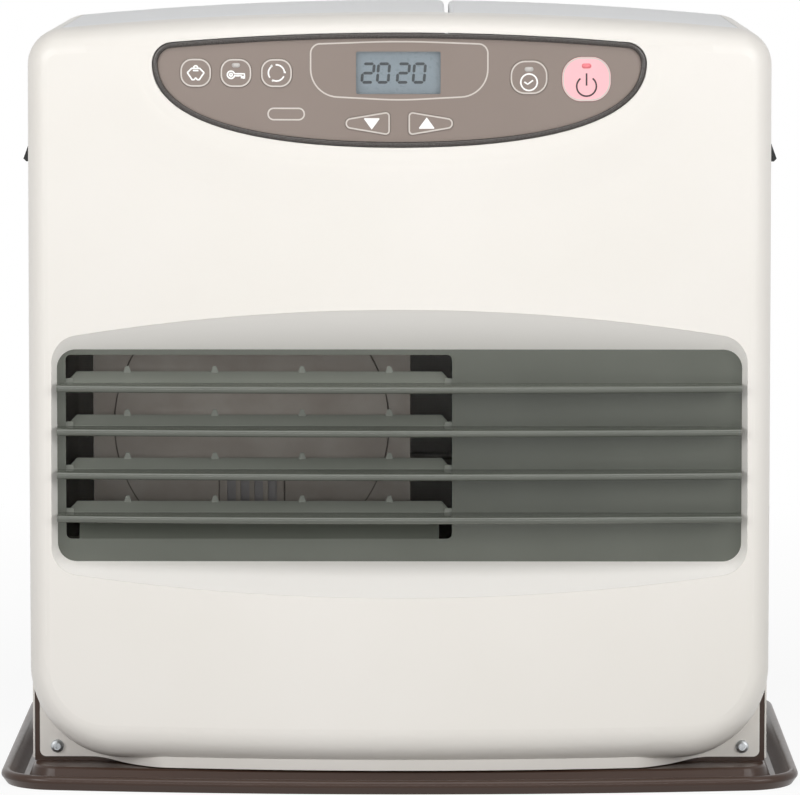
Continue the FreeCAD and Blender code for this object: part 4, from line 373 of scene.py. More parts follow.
# The finish of each record slot, for CAD nodes that show as they are.
SLOT_FINISH: dict[str, Surface] = {
    "enamel_white": Surface.WHITE_ENAMEL, "rear_steel": Surface.REAR_ENAMEL,
    "tray_brown": Surface.BROWN_ENAMEL, "louvre_grey": Surface.GREY_ENAMEL,
    "chamber_steel": Surface.TINTED_STEEL, "fascia_brown": Surface.FASCIA,
    "bezel_dark": Surface.BEZEL, "key_pink": Surface.PINK_KEY,
    "display_clear": Surface.CLEAR, "gauge_clear": Surface.CLEAR,
    "lcd_grey": Surface.DISPLAY, "black_plastic": Surface.BLACK_PLASTIC,
    "grey_plastic": Surface.GREY_PLASTIC, "fan_metal": Surface.ALUMINIUM,
    "zinc_steel": Surface.ZINC_STEEL, "tank_steel": Surface.TANK_STEEL,
    "cap_metal": Surface.BRASS, "copper_pipe": Surface.COPPER,
    "cast_burner": Surface.CAST_IRON, "motor_steel": Surface.MOTOR_STEEL,
    "board_green": Surface.BOARD, "igniter_white": Surface.CERAMIC,
}

# Nodes whose sheet differs from the rest of their slot.
NODE_FINISH: dict[str, Surface] = {
    "front_cover": Surface.FRONT_ENAMEL, "top_plate": Surface.TOP_ENAMEL,
    "tank_lid": Surface.TOP_ENAMEL, "louvre_bars": Surface.BAR_ENAMEL,
    "louvre_vanes": Surface.VANE_ENAMEL,
}


class Body(Enum):
    """Bodies of the frame that carry pieces made here."""

    CABINET = "cabinet"
    FILTER = "filter"
    ECONOMY = "key_economy"
    LOCK = "key_lock"
    EXTEND = "key_extend"
    DOWN = "key_down"
    UP = "key_up"
    TIMER = "key_timer"
    POWER = "key_power"


class Slot(Enum):
    """Record slots named with the pieces made here."""

    ENAMEL = "enamel_white"
    BEZEL = "bezel_dark"
    FASCIA = "fascia_brown"
    PINK = "key_pink"
    LCD = "lcd_grey"
    CHAMBER = "chamber_steel"
    GREY_PLASTIC = "grey_plastic"


def new_object(name: str, mesh: bpy.types.Mesh) -> bpy.types.Object:
    """Link a new object that holds a mesh.

    Args:
        name: Object name.
        mesh: Its mesh, with its place in it.

    Returns:
        The object, at the origin.
    """
    made = bpy.data.objects.new(name, mesh)
    bpy.context.scene.collection.objects.link(made)
    return made


def new_piece(name: str, points: Sequence, faces: Sequence[tuple[int, ...]],
              finish: Surface) -> bpy.types.Object:
    """Make a dressed piece from points and faces.

    Args:
        name: Object name.
        points: Points, in metres.
        faces: Corners of each face, anticlockwise from outside.
        finish: Finish of the piece.

    Returns:
        The piece.
    """
    mesh = bpy.data.meshes.new(name)
    mesh.from_pydata(points, [], faces)
    mesh.materials.append(finish.material)
    return new_object(name, mesh)


def settle(piece: bpy.types.Object, body: Body, slot: Slot, *nodes: str) -> None:
    """Hand a finished piece to the frame.

    Args:
        piece: The piece, in place.
        body: Body that carries it.
        slot: Record slot of its finish; not used.
        nodes: CAD nodes that it stands for.
    """
    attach(piece, body.value)
    if nodes:
        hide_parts(*nodes)
    log.info("%s on %s, %d faces", piece.name, body.value, len(piece.data.polygons))


@dataclass(frozen=True)
class FlatSurface:
    """An upright plane that faces the front."""

    y: float

    def point(self, x: float, z: float, inset: float = 0.0) -> Vector:
        """Find a point on the plane, or behind it by an inset, in metres."""
        return Vector((x, self.y + inset, z)) * MM


@dataclass(frozen=True)
class Line:
    """A line drawn on the front, in millimetres."""

    points: tuple[Point2, ...]
    inset: float
    closed: bool = False
    step: float = 2.0

    def fine(self) -> list[Point2]:
        """Divide the line into short steps, so that it keeps to the bowed front.

        Returns:
            The points, without a second copy of the first one.
        """
        ends = self.points[1:] + (self.points[:1] if self.closed else ())
        path: list[Point2] = []
        for (x, z), (u, v) in zip(self.points, ends):
            count = max(1, math.ceil(math.hypot(u - x, v - z) / self.step))
            path += [(x + (u - x) * i / count, z + (v - z) * i / count) for i in range(count)]
        return path if self.closed else path + [self.points[-1]]


@dataclass(frozen=True)
class Spot:
    """A place for a copy: millimetres, radians and scale."""

    at: Point3
    turn: Point3 = (0.0, 0.0, 0.0)
    size: Point3 = (1.0, 1.0, 1.0)


class NodeTool:
    """A geometry node tree with named inputs, run on a mesh and turned into a plain mesh."""

    def __init__(self, name: str, sockets: Mapping[str, str]) -> None:
        """Start a tree.

        Args:
            name: Name of the tree.
            sockets: Input name to socket type.
        """
        self.tree = bpy.data.node_groups.new(name, "GeometryNodeTree")
        face = self.tree.interface
        face.new_socket("Geometry", in_out="INPUT", socket_type="NodeSocketGeometry")
        for socket, kind in sockets.items():
            face.new_socket(socket, in_out="INPUT", socket_type=kind)
        face.new_socket("Geometry", in_out="OUTPUT", socket_type="NodeSocketGeometry")
        self.entry = add_node(self.tree, "NodeGroupInput")

    def close(self, geometry: bpy.types.NodeSocket) -> None:
        """End the tree in real, dressed geometry.

        Args:
            geometry: Socket that gives the finished shape.
        """
        real = add_node(self.tree, "GeometryNodeRealizeInstances", None, {"Geometry": geometry})
        dressed = add_node(self.tree, "GeometryNodeSetMaterial", None,
                           {"Geometry": real.outputs["Geometry"], "Material": self.entry.outputs["Material"]})
        add_node(self.tree, "NodeGroupOutput", None, {"Geometry": dressed.outputs["Geometry"]})

    def run(self, piece: bpy.types.Object, inputs: Mapping) -> None:
        """Run the tree on an object and keep the result as its mesh.

        Args:
            piece: Object that holds the tree's input mesh.
            inputs: Input name to value.
        """
        modifier = piece.modifiers.new(self.tree.name, "NODES")
        modifier.node_group = self.tree
        for item in self.tree.interface.items_tree:
            if item.in_out == "INPUT" and item.name in inputs:
                modifier[item.identifier] = inputs[item.name]
        seen = piece.evaluated_get(bpy.context.evaluated_depsgraph_get())
        mesh = bpy.data.meshes.new_from_object(seen)
        piece.modifiers.clear()
        spent = piece.data
        mesh.name = piece.name
        piece.data = mesh
        bpy.data.meshes.remove(spent)


class Sweep(NodeTool):
    """Sweeps a flat profile along lines that lie on the front."""

    def __init__(self) -> None:
        """Build the tree."""
        super().__init__("sweep_profile", {"Profile": "NodeSocketObject", "Material": "NodeSocketMaterial"})
        tree = self.tree
        out = add_node(tree, "GeometryNodeInputNamedAttribute",
                       {"data_type": "FLOAT_VECTOR", "Name": "outward"})
        line = add_node(tree, "GeometryNodeMeshToCurve", None, {"Mesh": self.entry.outputs["Geometry"]})
        held = add_node(tree, "GeometryNodeSetCurveNormal", {"mode": "FREE"},
                        {"Curve": line.outputs["Curve"], "Normal": out.outputs["Attribute"]})
        shape = add_node(tree, "GeometryNodeObjectInfo", None, {"Object": self.entry.outputs["Profile"]})
        outline = add_node(tree, "GeometryNodeMeshToCurve", None, {"Mesh": shape.outputs["Geometry"]})
        body = add_node(tree, "GeometryNodeCurveToMesh", {"Fill Caps": True},
                        {"Curve": held.outputs["Curve"], "Profile Curve": outline.outputs["Curve"]})
        self.close(body.outputs["Mesh"])

    def make(self, name: str, lines: Sequence[Line], profile: Sequence[Point2], finish: Surface,
             smooth: bool = False) -> bpy.types.Object:
        """Sweep a profile along lines.

        Args:
            name: Object name.
            lines: Lines on the front.
            profile: Closed outline in millimetres, first across the line, then outwards.
            finish: Finish of the swept piece.
            smooth: Whether faces shade smoothly.

        Returns:
            The swept piece.
        """
        points: list[Vector] = []
        ways: list[float] = []
        edges: list[tuple[int, int]] = []
        for line in lines:
            first = len(points)
            path = line.fine()
            count = len(path)
            for x, z in path:
                points.append(FRONT.point(x, z, line.inset))
                ways.extend(FRONT.normal(x, z))
            edges += [(first + i, first + i + 1) for i in range(count - 1)]
            if line.closed:
                edges.append((first + count - 1, first))
        mesh = bpy.data.meshes.new(name)
        mesh.from_pydata(points, edges, [])
        mesh.attributes.new("outward", "FLOAT_VECTOR", "POINT").data.foreach_set("vector", ways)
        piece = new_object(name, mesh)
        ring = bpy.data.meshes.new(name + "_profile")
        count = len(profile)
        sides = [(i, (i + 1) % count) for i in range(count)]
        ring.from_pydata([(v * MM, u * MM, 0.0) for u, v in profile], sides, [])
        shape = new_object(name + "_profile", ring)
        self.run(piece, {"Profile": shape, "Material": finish.material})
        bpy.data.objects.remove(shape)
        bpy.data.meshes.remove(ring)
        if smooth:
            piece.data.shade_smooth()
            piece.data.set_sharp_from_angle(angle=math.radians(SHARP_DEG))
        else:
            piece.data.shade_flat()
        return piece


class Scatter(NodeTool):
    """Sets one shape on many points, turned and sized at each."""

    def __init__(self) -> None:
        """Build the tree."""
        super().__init__("set_on_points", {"Shape": "NodeSocketObject", "Material": "NodeSocketMaterial"})
        tree = self.tree
        shape = add_node(tree, "GeometryNodeObjectInfo", None, {"Object": self.entry.outputs["Shape"]})
        turn, size = (add_node(tree, "GeometryNodeInputNamedAttribute",
                               {"data_type": "FLOAT_VECTOR", "Name": name}) for name in ("turn", "size"))
        turned = add_node(tree, "FunctionNodeEulerToRotation", None, {"Euler": turn.outputs["Attribute"]})
        copies = add_node(tree, "GeometryNodeInstanceOnPoints", None,
                          {"Points": self.entry.outputs["Geometry"], "Instance": shape.outputs["Geometry"],
                           "Rotation": turned.outputs["Rotation"], "Scale": size.outputs["Attribute"]})
        self.close(copies.outputs["Instances"])

    def make(self, name: str, spots: Sequence[Spot], shape: bpy.types.Mesh,
             finish: Surface) -> bpy.types.Object:
        """Set a shape on every spot.

        Args:
            name: Object name.
            spots: Places, turns and sizes.
            shape: The shape, with its middle at the origin; it is used up.
            finish: Finish of the piece.

        Returns:
            One piece with all the copies.
        """
        mesh = bpy.data.meshes.new(name)
        mesh.from_pydata([Vector(spot.at) * MM for spot in spots], [], [])
        for field in ("turn", "size"):
            values = [value for spot in spots for value in getattr(spot, field)]
            mesh.attributes.new(field, "FLOAT_VECTOR", "POINT").data.foreach_set("vector", values)
        piece = new_object(name, mesh)
        shape.materials.append(finish.material)
        sample = new_object(name + "_shape", shape)
        self.run(piece, {"Shape": sample, "Material": finish.material})
        bpy.data.objects.remove(sample)
        bpy.data.meshes.remove(shape)
        return piece


SWEEP = Sweep()
SCATTER = Scatter()


def arc(middle: Point2, radius: float, start: float, stop: float, steps: int = 24) -> list[Point2]:
    """Points on a round arc.

    Args:
        middle: Centre.
        radius: Radius.
        start: First angle in degrees, from the right, anticlockwise.
        stop: Last angle in degrees.
        steps: Number of pieces.

    Returns:
        The points, both ends included.
    """
    angles = [math.radians(start + (stop - start) * i / steps) for i in range(steps + 1)]
    return [(middle[0] + radius * math.cos(a), middle[1] + radius * math.sin(a)) for a in angles]


def round_corners(corners: Sequence[Point3], steps: int = 8) -> list[Point2]:
    """Closed outline through corners, each rounded.

    Args:
        corners: Place and radius of each corner, anticlockwise.
        steps: Pieces in each rounding.

    Returns:
        The points of the outline.
    """
    outline: list[Point2] = []
    count = len(corners)
    for i, (x, z, radius) in enumerate(corners):
        here = np.array((x, z))
        before = np.array(corners[i - 1][:2]) - here
        after = np.array(corners[(i + 1) % count][:2]) - here
        before = before / np.linalg.norm(before)
        after = after / np.linalg.norm(after)
        half = math.acos(float(np.clip(before @ after, -1, 1))) / 2
        reach = radius / math.tan(half)
        middle = here + (before + after) / np.linalg.norm(before + after) * radius / math.sin(half)
        start = here + before * reach - middle
        stop = here + after * reach - middle
        first = math.atan2(start[1], start[0])
        sweep = (math.atan2(stop[1], stop[0]) - first + math.pi) % (2 * math.pi) - math.pi
        for k in range(steps + 1):
            angle = first + sweep * k / steps
            spot = middle + radius * np.array((math.cos(angle), math.sin(angle)))
            outline.append((float(spot[0]), float(spot[1])))
    return outline


def rounded_box(middle: Point2, width: float, height: float, radius: float) -> list[Point2]:
    """Closed outline of a rectangle with round corners.

    Args:
        middle: Its middle.
        width: Size across.
        height: Size up.
        radius: Corner radius.

    Returns:
        The points of the outline, anticlockwise.
    """
    x, z = middle
    w, h = width / 2, height / 2
    return round_corners([(x - w, z - h, radius), (x + w, z - h, radius), (x + w, z + h, radius),
                          (x - w, z + h, radius)])


def shift(points: Sequence[Point2], by: Point2) -> tuple[Point2, ...]:
    """The same points moved."""
    return tuple((x + by[0], z + by[1]) for x, z in points)


def plate(name: str, outlines: Sequence[Sequence[Point2]], insets: tuple[float, float], finish: Surface,
          crown: float = 0.0, ground: FrontSurface | FlatSurface = FRONT) -> bpy.types.Object:
    """Thin closed plates that follow the front or a plane.

    Args:
        name: Object name.
        outlines: Closed convex outlines, anticlockwise, in millimetres.
        insets: Depth of the front and of the back face.
        finish: Finish of the plates.
        crown: How far the middle stands proud of the edge.
        ground: Surface that the plates follow.

    Returns:
        One piece with all the plates.
    """
    points: list[Vector] = []
    faces: list[tuple[int, ...]] = []
    for outline in outlines:
        count = len(outline)
        first = len(points)
        middle = (sum(x for x, z in outline) / count, sum(z for x, z in outline) / count)
        points += [ground.point(x, z, insets[1]) for x, z in outline]
        points += [ground.point(x, z, insets[0]) for x, z in outline]
        points.append(ground.point(*middle, insets[0] - crown))
        points.append(ground.point(*middle, insets[1]))
        top, low = first + 2 * count, first + 2 * count + 1
        for i in range(count):
            k = (i + 1) % count
            faces.append((first + i, first + k, first + count + k, first + count + i))
            faces.append((first + count + i, first + count + k, top))
            faces.append((first + k, first + i, low))
    return new_piece(name, points, faces, finish)


@dataclass
class Shell:
    """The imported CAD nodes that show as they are."""

    def dress(self) -> None:
        """Give every node the finish of its slot."""
        slots = {s["node"]: s["material_slot"] for s in frame["record"]["subparts"]}
        for name, node in frame["nodes"].items():
            node.data.materials.clear()
            finish = NODE_FINISH.get(name, SLOT_FINISH[slots[name]])
            node.data.materials.append(finish.material)
        log.info("dressed %d nodes", len(frame["nodes"]))


@dataclass
class FrontSheet:
    """The pressed front cover, shaded by its true bow, sizes in millimetres."""

    half: float = 180.0
    low_z: float = 40.0
    high_z: float = 405.0
    touch: float = 0.3
    turn_deg: float = 3.0
    weld: float = 0.0001

    def build(self) -> None:
        """Copy the cover and mend corner normals that lean into its openings."""
        cover = frame["nodes"]["front_cover"].data
        mesh = self.welded(cover)
        normals = [Vector(corner.vector) for corner in cover.corner_normals]
        for face in mesh.polygons:
            for corner in face.loop_indices:
                place = mesh.vertices[mesh.loops[corner].vertex_index].co / MM
                true = self.true_normal(place)
                if true and face.normal.dot(true) > math.cos(math.radians(self.turn_deg)):
                    normals[corner] = true
        mesh.normals_split_custom_set(normals)
        mesh.materials.append(Surface.FRONT_ENAMEL.material)
        settle(new_object("front_sheet", mesh), Body.CABINET, Slot.ENAMEL, "front_cover")

    def welded(self, cover: bpy.types.Mesh) -> bpy.types.Mesh:
        """Join the loose triangles of the cover where they meet.

        Args:
            cover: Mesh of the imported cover.

        Returns:
            A closed mesh with the same faces in the same order.
        """
        joined: dict[tuple[int, ...], int] = {}
        points: list[Vector] = []
        places: list[int] = []
        for vertex in cover.vertices:
            key = tuple(round(c / (self.weld * MM)) for c in vertex.co)
            if key not in joined:
                joined[key] = len(points)
                points.append(vertex.co)
            places.append(joined[key])
        faces = [tuple(places[i] for i in face.vertices) for face in cover.polygons]
        mesh = bpy.data.meshes.new("front_sheet")
        mesh.from_pydata(points, [], faces, False)
        return mesh

    def true_normal(self, place: Vector) -> Vector | None:
        """Find the bow's normal at a place.

        Args:
            place: Place in millimetres.

        Returns:
            The normal, or nothing where the place is off the bow.
        """
        if abs(place.x) > self.half or not self.low_z < place.z < self.high_z:
            return None
        if abs(FRONT.point(place.x, place.z).y / MM - place.y) > self.touch:
            return None
        return FRONT.normal(place.x, place.z)


@dataclass
class ControlPanel:
    """Bezel, prints, lamps and display of the key panel, sizes in millimetres."""

    half: float = 135.3
    top: float = 419.1
    tall: float = 62.3
    crown_r: float = 1400.0
    corner_r: float = 11.5
    fullness: float = 0.65
    bezel_width: float = 2.8
    bezel_deep: float = 2.6
    bezel_edge: float = 0.3
    bezel_crown: float = 0.72
    fascia_inset: float = 1.2
    key_inset: float = 0.7
    key_gap: float = 0.25
    film_play: float = 0.05
    film_thick: float = 0.3
    print_thick: float = 0.08
    line_width: float = 0.8
    icon_width: float = 0.85
    power_width: float = 0.95
    ring_inset: float = 0.55
    frame_half: float = 48.4
    frame_low: Point2 = (384.9, 382.4)
    frame_high: Point2 = (412.9, 414.7)
    frame_radii: tuple[float, float, float, float] = (15.2, 220.0, 5.2, 500.0)
    oval_at: Point2 = (-61.8, 374.8)
    oval_size: Point3 = (19.8, 6.2, 3.05)
    key_row_z: float = 397.1
    small_key: Point3 = (17.1, 15.5, 6.6)
    economy_x: float = -111.4
    lock_x: float = -89.3
    extend_x: float = -67.1
    timer_at: Point2 = (70.9, 394.8)
    timer_key: Point3 = (20.4, 18.4, 8.0)
    power_at: Point2 = (102.4, 393.7)
    power_key: Point3 = (26.6, 24.1, 10.6)
    lock_lens: Point3 = (4.2, 4.6, 2.5)
    timer_lens: Point3 = (4.4, 4.9, 2.6)
    power_lens: Point3 = (7.2, 5.3, 2.7)
    lens_half: float = 0.1
    lens_crown: float = 0.12
    lens_flat: float = 0.02
    arrow_at: Point2 = (17.2, 369.8)
    arrow_size: Point2 = (24.5, 12.6)
    arrow_radii: Point2 = (2.4, 3.1)
    sign_shift: float = 2.2
    sign_half: float = 4.6
    sign_reach: Point2 = (2.9, 3.4)
    sign_radii: Point2 = (0.4, 0.3)
    sign_sink: float = 0.1

    def outline(self, grow: float = 0.0, steps: int = 40) -> list[Point2]:
        """Outline of the panel, anticlockwise from the right end of its arched top.

        Args:
            grow: Distance outside the bezel's outer edge.
            steps: Pieces in each of the long curves.

        Returns:
            The points of the closed outline.
        """
        reach = self.crown_r - self.corner_r
        corner = self.half - self.corner_r
        waist = self.top - self.crown_r + math.sqrt(reach ** 2 - corner ** 2)
        lean = math.degrees(math.acos(corner / reach))
        crown = arc((0.0, self.top - self.crown_r), self.crown_r + grow, lean, 180 - lean, steps)
        left = arc((-corner, waist), self.corner_r + grow, 180 - lean, 180, 10)
        half = self.half + grow
        deep = waist - (self.top - self.tall) + grow
        poles = np.array([(-half, waist), (-half, waist - self.fullness * deep),
                          (-self.fullness * half, waist - deep), (0.0, waist - deep)])
        t = np.linspace(0, 1, steps + 1)[:, None]
        bend = ((1 - t) ** 3 * poles[0] + 3 * t * (1 - t) ** 2 * poles[1]
                + 3 * t ** 2 * (1 - t) * poles[2] + t ** 3 * poles[3])
        lower = [(float(x), float(z)) for x, z in bend]
        side = crown[len(crown) // 2:] + left[1:] + lower[1:]
        other = [(-x, z) for x, z in reversed(side)]
        return side + other[1:-1]

    def build(self) -> None:
        """Make every piece of the panel."""
        self.build_bezel()
        self.build_film()
        self.build_prints()
        self.build_keys()

    def build_bezel(self) -> None:
        """Round-topped bead round the fascia."""
        w, deep, edge = self.bezel_width / 2, -self.bezel_deep, -self.bezel_edge
        bead = arc((0.0, edge), w, 0, 180, 12)[1:-1]
        bead = [(u, edge + (v - edge) * self.bezel_crown) for u, v in bead]
        profile = [(-w, deep), (w, deep), (w, edge)] + bead + [(-w, edge)]
        line = Line(tuple(self.outline(-w)), 0.0, True)
        bezel = SWEEP.make("bezel_bead", [line], profile, Surface.BEZEL, smooth=True)
        settle(bezel, Body.CABINET, Slot.BEZEL, "fascia_bezel")

    def rounded_keys(self) -> dict[Body, tuple[Point2, Point3]]:
        """Find the keys with round corners.

        Returns:
            Each key's middle, and its width, height and corner radius.
        """
        row = {Body.ECONOMY: self.economy_x, Body.LOCK: self.lock_x, Body.EXTEND: self.extend_x}
        keys = {body: ((x, self.key_row_z), self.small_key) for body, x in row.items()}
        keys[Body.TIMER] = (self.timer_at, self.timer_key)
        keys[Body.POWER] = (self.power_at, self.power_key)
        return keys

    def build_film(self) -> None:
        """Thin film of the fascia that closes the gap round every key."""
        grow = self.key_gap / 2
        keys = self.rounded_keys().values()
        lines = [self.ring(middle, size, -grow, self.fascia_inset) for middle, size in keys]
        lines += [self.arrow_ring(way, -grow, self.fascia_inset) for way in (-1, 1)]
        w, deep = grow - self.film_play, -self.film_thick
        film = SWEEP.make("key_film", lines, [(-w, deep), (w, deep), (w, 0.0), (-w, 0.0)], Surface.FASCIA)
        settle(film, Body.CABINET, Slot.FASCIA)

    def stroke(self, name: str, lines: Sequence[Line], width: float, finish: Surface) -> bpy.types.Object:
        """Print thin lines.

        Args:
            name: Object name.
            lines: Lines to print.
            width: Width of the line.
            finish: Ink.

        Returns:
            The printed piece.
        """
        w, t = width / 2, self.print_thick / 2
        return SWEEP.make(name, lines, [(-w, -t), (w, -t), (w, t), (-w, t)], finish)

    def build_prints(self) -> None:
        """Pale frame round the display and the small oval below the keys."""
        half = self.frame_half
        low_end, low_middle = self.frame_low
        high_end, high_middle = self.frame_high
        low_r, foot_r, high_r, crown_r = self.frame_radii
        corners = [(-half, low_end, low_r), (0.0, low_middle, foot_r), (half, low_end, low_r),
                   (half, high_end, high_r), (0.0, high_middle, crown_r), (-half, high_end, high_r)]
        outlines = [round_corners(corners, 12), rounded_box(self.oval_at, *self.oval_size)]
        lines = [Line(tuple(outline), self.fascia_inset, True) for outline in outlines]
        prints = self.stroke("fascia_print", lines, self.line_width, Surface.RING_INK)
        settle(prints, Body.CABINET, Slot.FASCIA)

    def ring(self, middle: Point2, size: Point3, rim: float, inset: float) -> Line:
        """Closed line along a key's edge.

        Args:
            middle: Middle of the key.
            size: Its width, height and corner radius.
            rim: Distance inside the edge.
            inset: Depth behind the front.

        Returns:
            The line.
        """
        width, height, radius = size
        outline = rounded_box(middle, width - 2 * rim, height - 2 * rim, radius - rim)
        return Line(tuple(outline), inset, True)

    def arrow_ring(self, way: int, rim: float, inset: float) -> Line:
        """Closed line along an arrow key's edge.

        Args:
            way: 1 for the right key, -1 for the left one.
            rim: Distance inside the edge.
            inset: Depth behind the front.

        Returns:
            The line.
        """
        x, z = self.arrow_at
        back, tip = (r - rim for r in self.arrow_radii)
        inner = x - self.arrow_size[0] / 2 + self.arrow_radii[0]
        outer = x + self.arrow_size[0] / 2 - self.arrow_radii[1]
        rise = self.arrow_size[1] / 2 - self.arrow_radii[0]
        span = math.hypot(outer - inner, rise)
        lean = math.degrees(math.atan2(rise, outer - inner) + math.asin((back - tip) / span))
        points = (arc((inner, z - rise), back, 180, 270 + lean, 10)
                  + arc((outer, z), tip, lean - 90, 90 - lean, 16)
                  + arc((inner, z + rise), back, 90 - lean, 180, 10))
        points = [(way * u, v) for u, v in points]
        return Line(tuple(points if way > 0 else points[::-1]), inset, True)

    @staticmethod
    def slot_of(body: Body) -> Slot:
        """Record slot of what is printed on a key."""
        return Slot.PINK if body is Body.POWER else Slot.FASCIA

    def build_keys(self) -> None:
        """Rings, icons and lamp lenses of the seven keys."""
        keys = self.rounded_keys()
        icons = self.icons()
        for body, (middle, size) in keys.items():
            self.print_key(body, middle, size, icons[body])
        lenses = {Body.LOCK: self.lock_lens, Body.TIMER: self.timer_lens, Body.POWER: self.power_lens}
        for body, lens in lenses.items():
            self.add_lens(body, keys[body][0], lens)
        for body, way in ((Body.DOWN, -1), (Body.UP, 1)):
            self.print_arrow(body, way)

    def print_key(self, body: Body, middle: Point2, size: Point3, icon: Sequence[Stroke]) -> None:
        """Print a key's ring and icon.

        Args:
            body: Body of the key.
            middle: Its middle.
            size: Its width, height and corner radius.
            icon: Lines of the icon about the middle.
        """
        line = self.ring(middle, size, self.ring_inset, self.key_inset)
        ring = self.stroke(body.value + "_ring", [line], self.line_width, Surface.RING_INK)
        settle(ring, body, self.slot_of(body))
        width, ink = self.icon_width, Surface.WHITE_INK
        if body is Body.POWER:
            width, ink = self.power_width, Surface.DARK_INK
        lines = [Line(shift(points, middle), self.key_inset, closed) for points, closed in icon]
        settle(self.stroke(body.value + "_icon", lines, width, ink), body, self.slot_of(body))

    def add_lens(self, body: Body, middle: Point2, size: Point3) -> None:
        """Set a small oval lamp lens on a key.

        Args:
            body: Body of the key.
            middle: Middle of the key.
            size: The lens's rise above that middle, its width and its height.
        """
        rise, width, height = size
        outline = rounded_box((middle[0], middle[1] + rise), width, height, height / 2 - self.lens_flat)
        insets = (self.key_inset - self.lens_half, self.key_inset + self.lens_half)
        finish = Surface.RED_LENS if body is Body.POWER else Surface.GREY_LENS
        lens = plate(body.value + "_lamp", [outline], insets, finish, self.lens_crown)
        lens.data.shade_smooth()
        settle(lens, body, self.slot_of(body))

    def print_arrow(self, body: Body, way: int) -> None:
        """Print an arrow key's ring and arrow.

        Args:
            body: Body of the key.
            way: 1 for the right key, which points up, -1 for the left one.
        """
        line = self.arrow_ring(way, self.ring_inset, self.key_inset)
        ring = self.stroke(body.value + "_ring", [line], self.line_width, Surface.RING_INK)
        settle(ring, body, self.slot_of(body))
        x, z = way * (self.arrow_at[0] - self.sign_shift), self.arrow_at[1]
        half, foot_r, tip_r = self.sign_half, *self.sign_radii
        foot, tip = (way * reach for reach in self.sign_reach)
        corners = [(x - half, z - foot, foot_r), (x + half, z - foot, foot_r), (x, z + tip, tip_r)]
        arrow = round_corners(corners if way > 0 else corners[::-1], 4)
        insets = (self.key_inset - self.print_thick, self.key_inset + self.sign_sink)
        piece = plate(body.value + "_arrow", [arrow], insets, Surface.WHITE_INK)
        settle(piece, body, self.slot_of(body))

    @staticmethod
    def icons() -> dict[Body, list[Stroke]]:
        """Draw the signs of the keys.

        Returns:
            Each key's lines about its middle, in millimetres.
        """
        # A savings purse: a wide pouch on two feet, with a clasp.
        side = [(-4.6, 0.0, 0.5), (-2.7, -2.7, 0.3), (-2.0, -3.8, 0.3), (-0.9, -3.8, 0.3)]
        other = [(-x, z, radius) for x, z, radius in reversed(side)]
        pouch = round_corners(side + [(0.0, -2.8, 0.3)] + other + [(2.2, 2.4, 0.6), (-2.2, 2.4, 0.6)], 4)
        clasp = arc((0.0, 2.7), 1.1, 0, 180, 10)
        purse = [(pouch, True), (clasp, False), ([(-1.5, 1.2), (1.5, 1.2)], False)]
        # A door key: a bow with a hole, a shaft and two teeth.
        bow = arc((-2.7, -1.0), 2.0, 16, 344, 30)
        shaft = [(3.0, -1.55), (3.0, -2.7), (3.6, -2.7), (3.6, -1.9), (4.1, -1.9), (4.1, -2.9),
                 (4.7, -2.9), (4.7, -0.45)]
        door_key = [(bow + shaft, True), (arc((-2.7, -1.0), 0.75, 0, 345, 16), True)]
        # Longer running: a circle in three arcs with points.
        circle = []
        for start in (96, -24, -144):
            circle.append((arc((0.0, 0.1), 4.4, start, start - 96, 18), False))
            circle.append((arc((0.0, 0.1), 4.75, start - 86, start - 98, 3), False))
        # A clock face with two hands.
        face = arc((0.0, -2.65), 4.5, 0, 351, 40)
        clock = [(face, True), ([(-2.6, -2.5), (-0.7, -3.7), (2.2, -1.6)], False)]
        # The stand-by sign: an open ring with a stroke.
        ring = arc((0.0, -3.9), 5.4, 128, 412, 40)
        standby = [(ring, False), ([(0.0, -3.6), (0.0, 3.2)], False)]
        return {Body.ECONOMY: purse, Body.LOCK: door_key, Body.EXTEND: circle, Body.TIMER: clock,
                Body.POWER: standby}


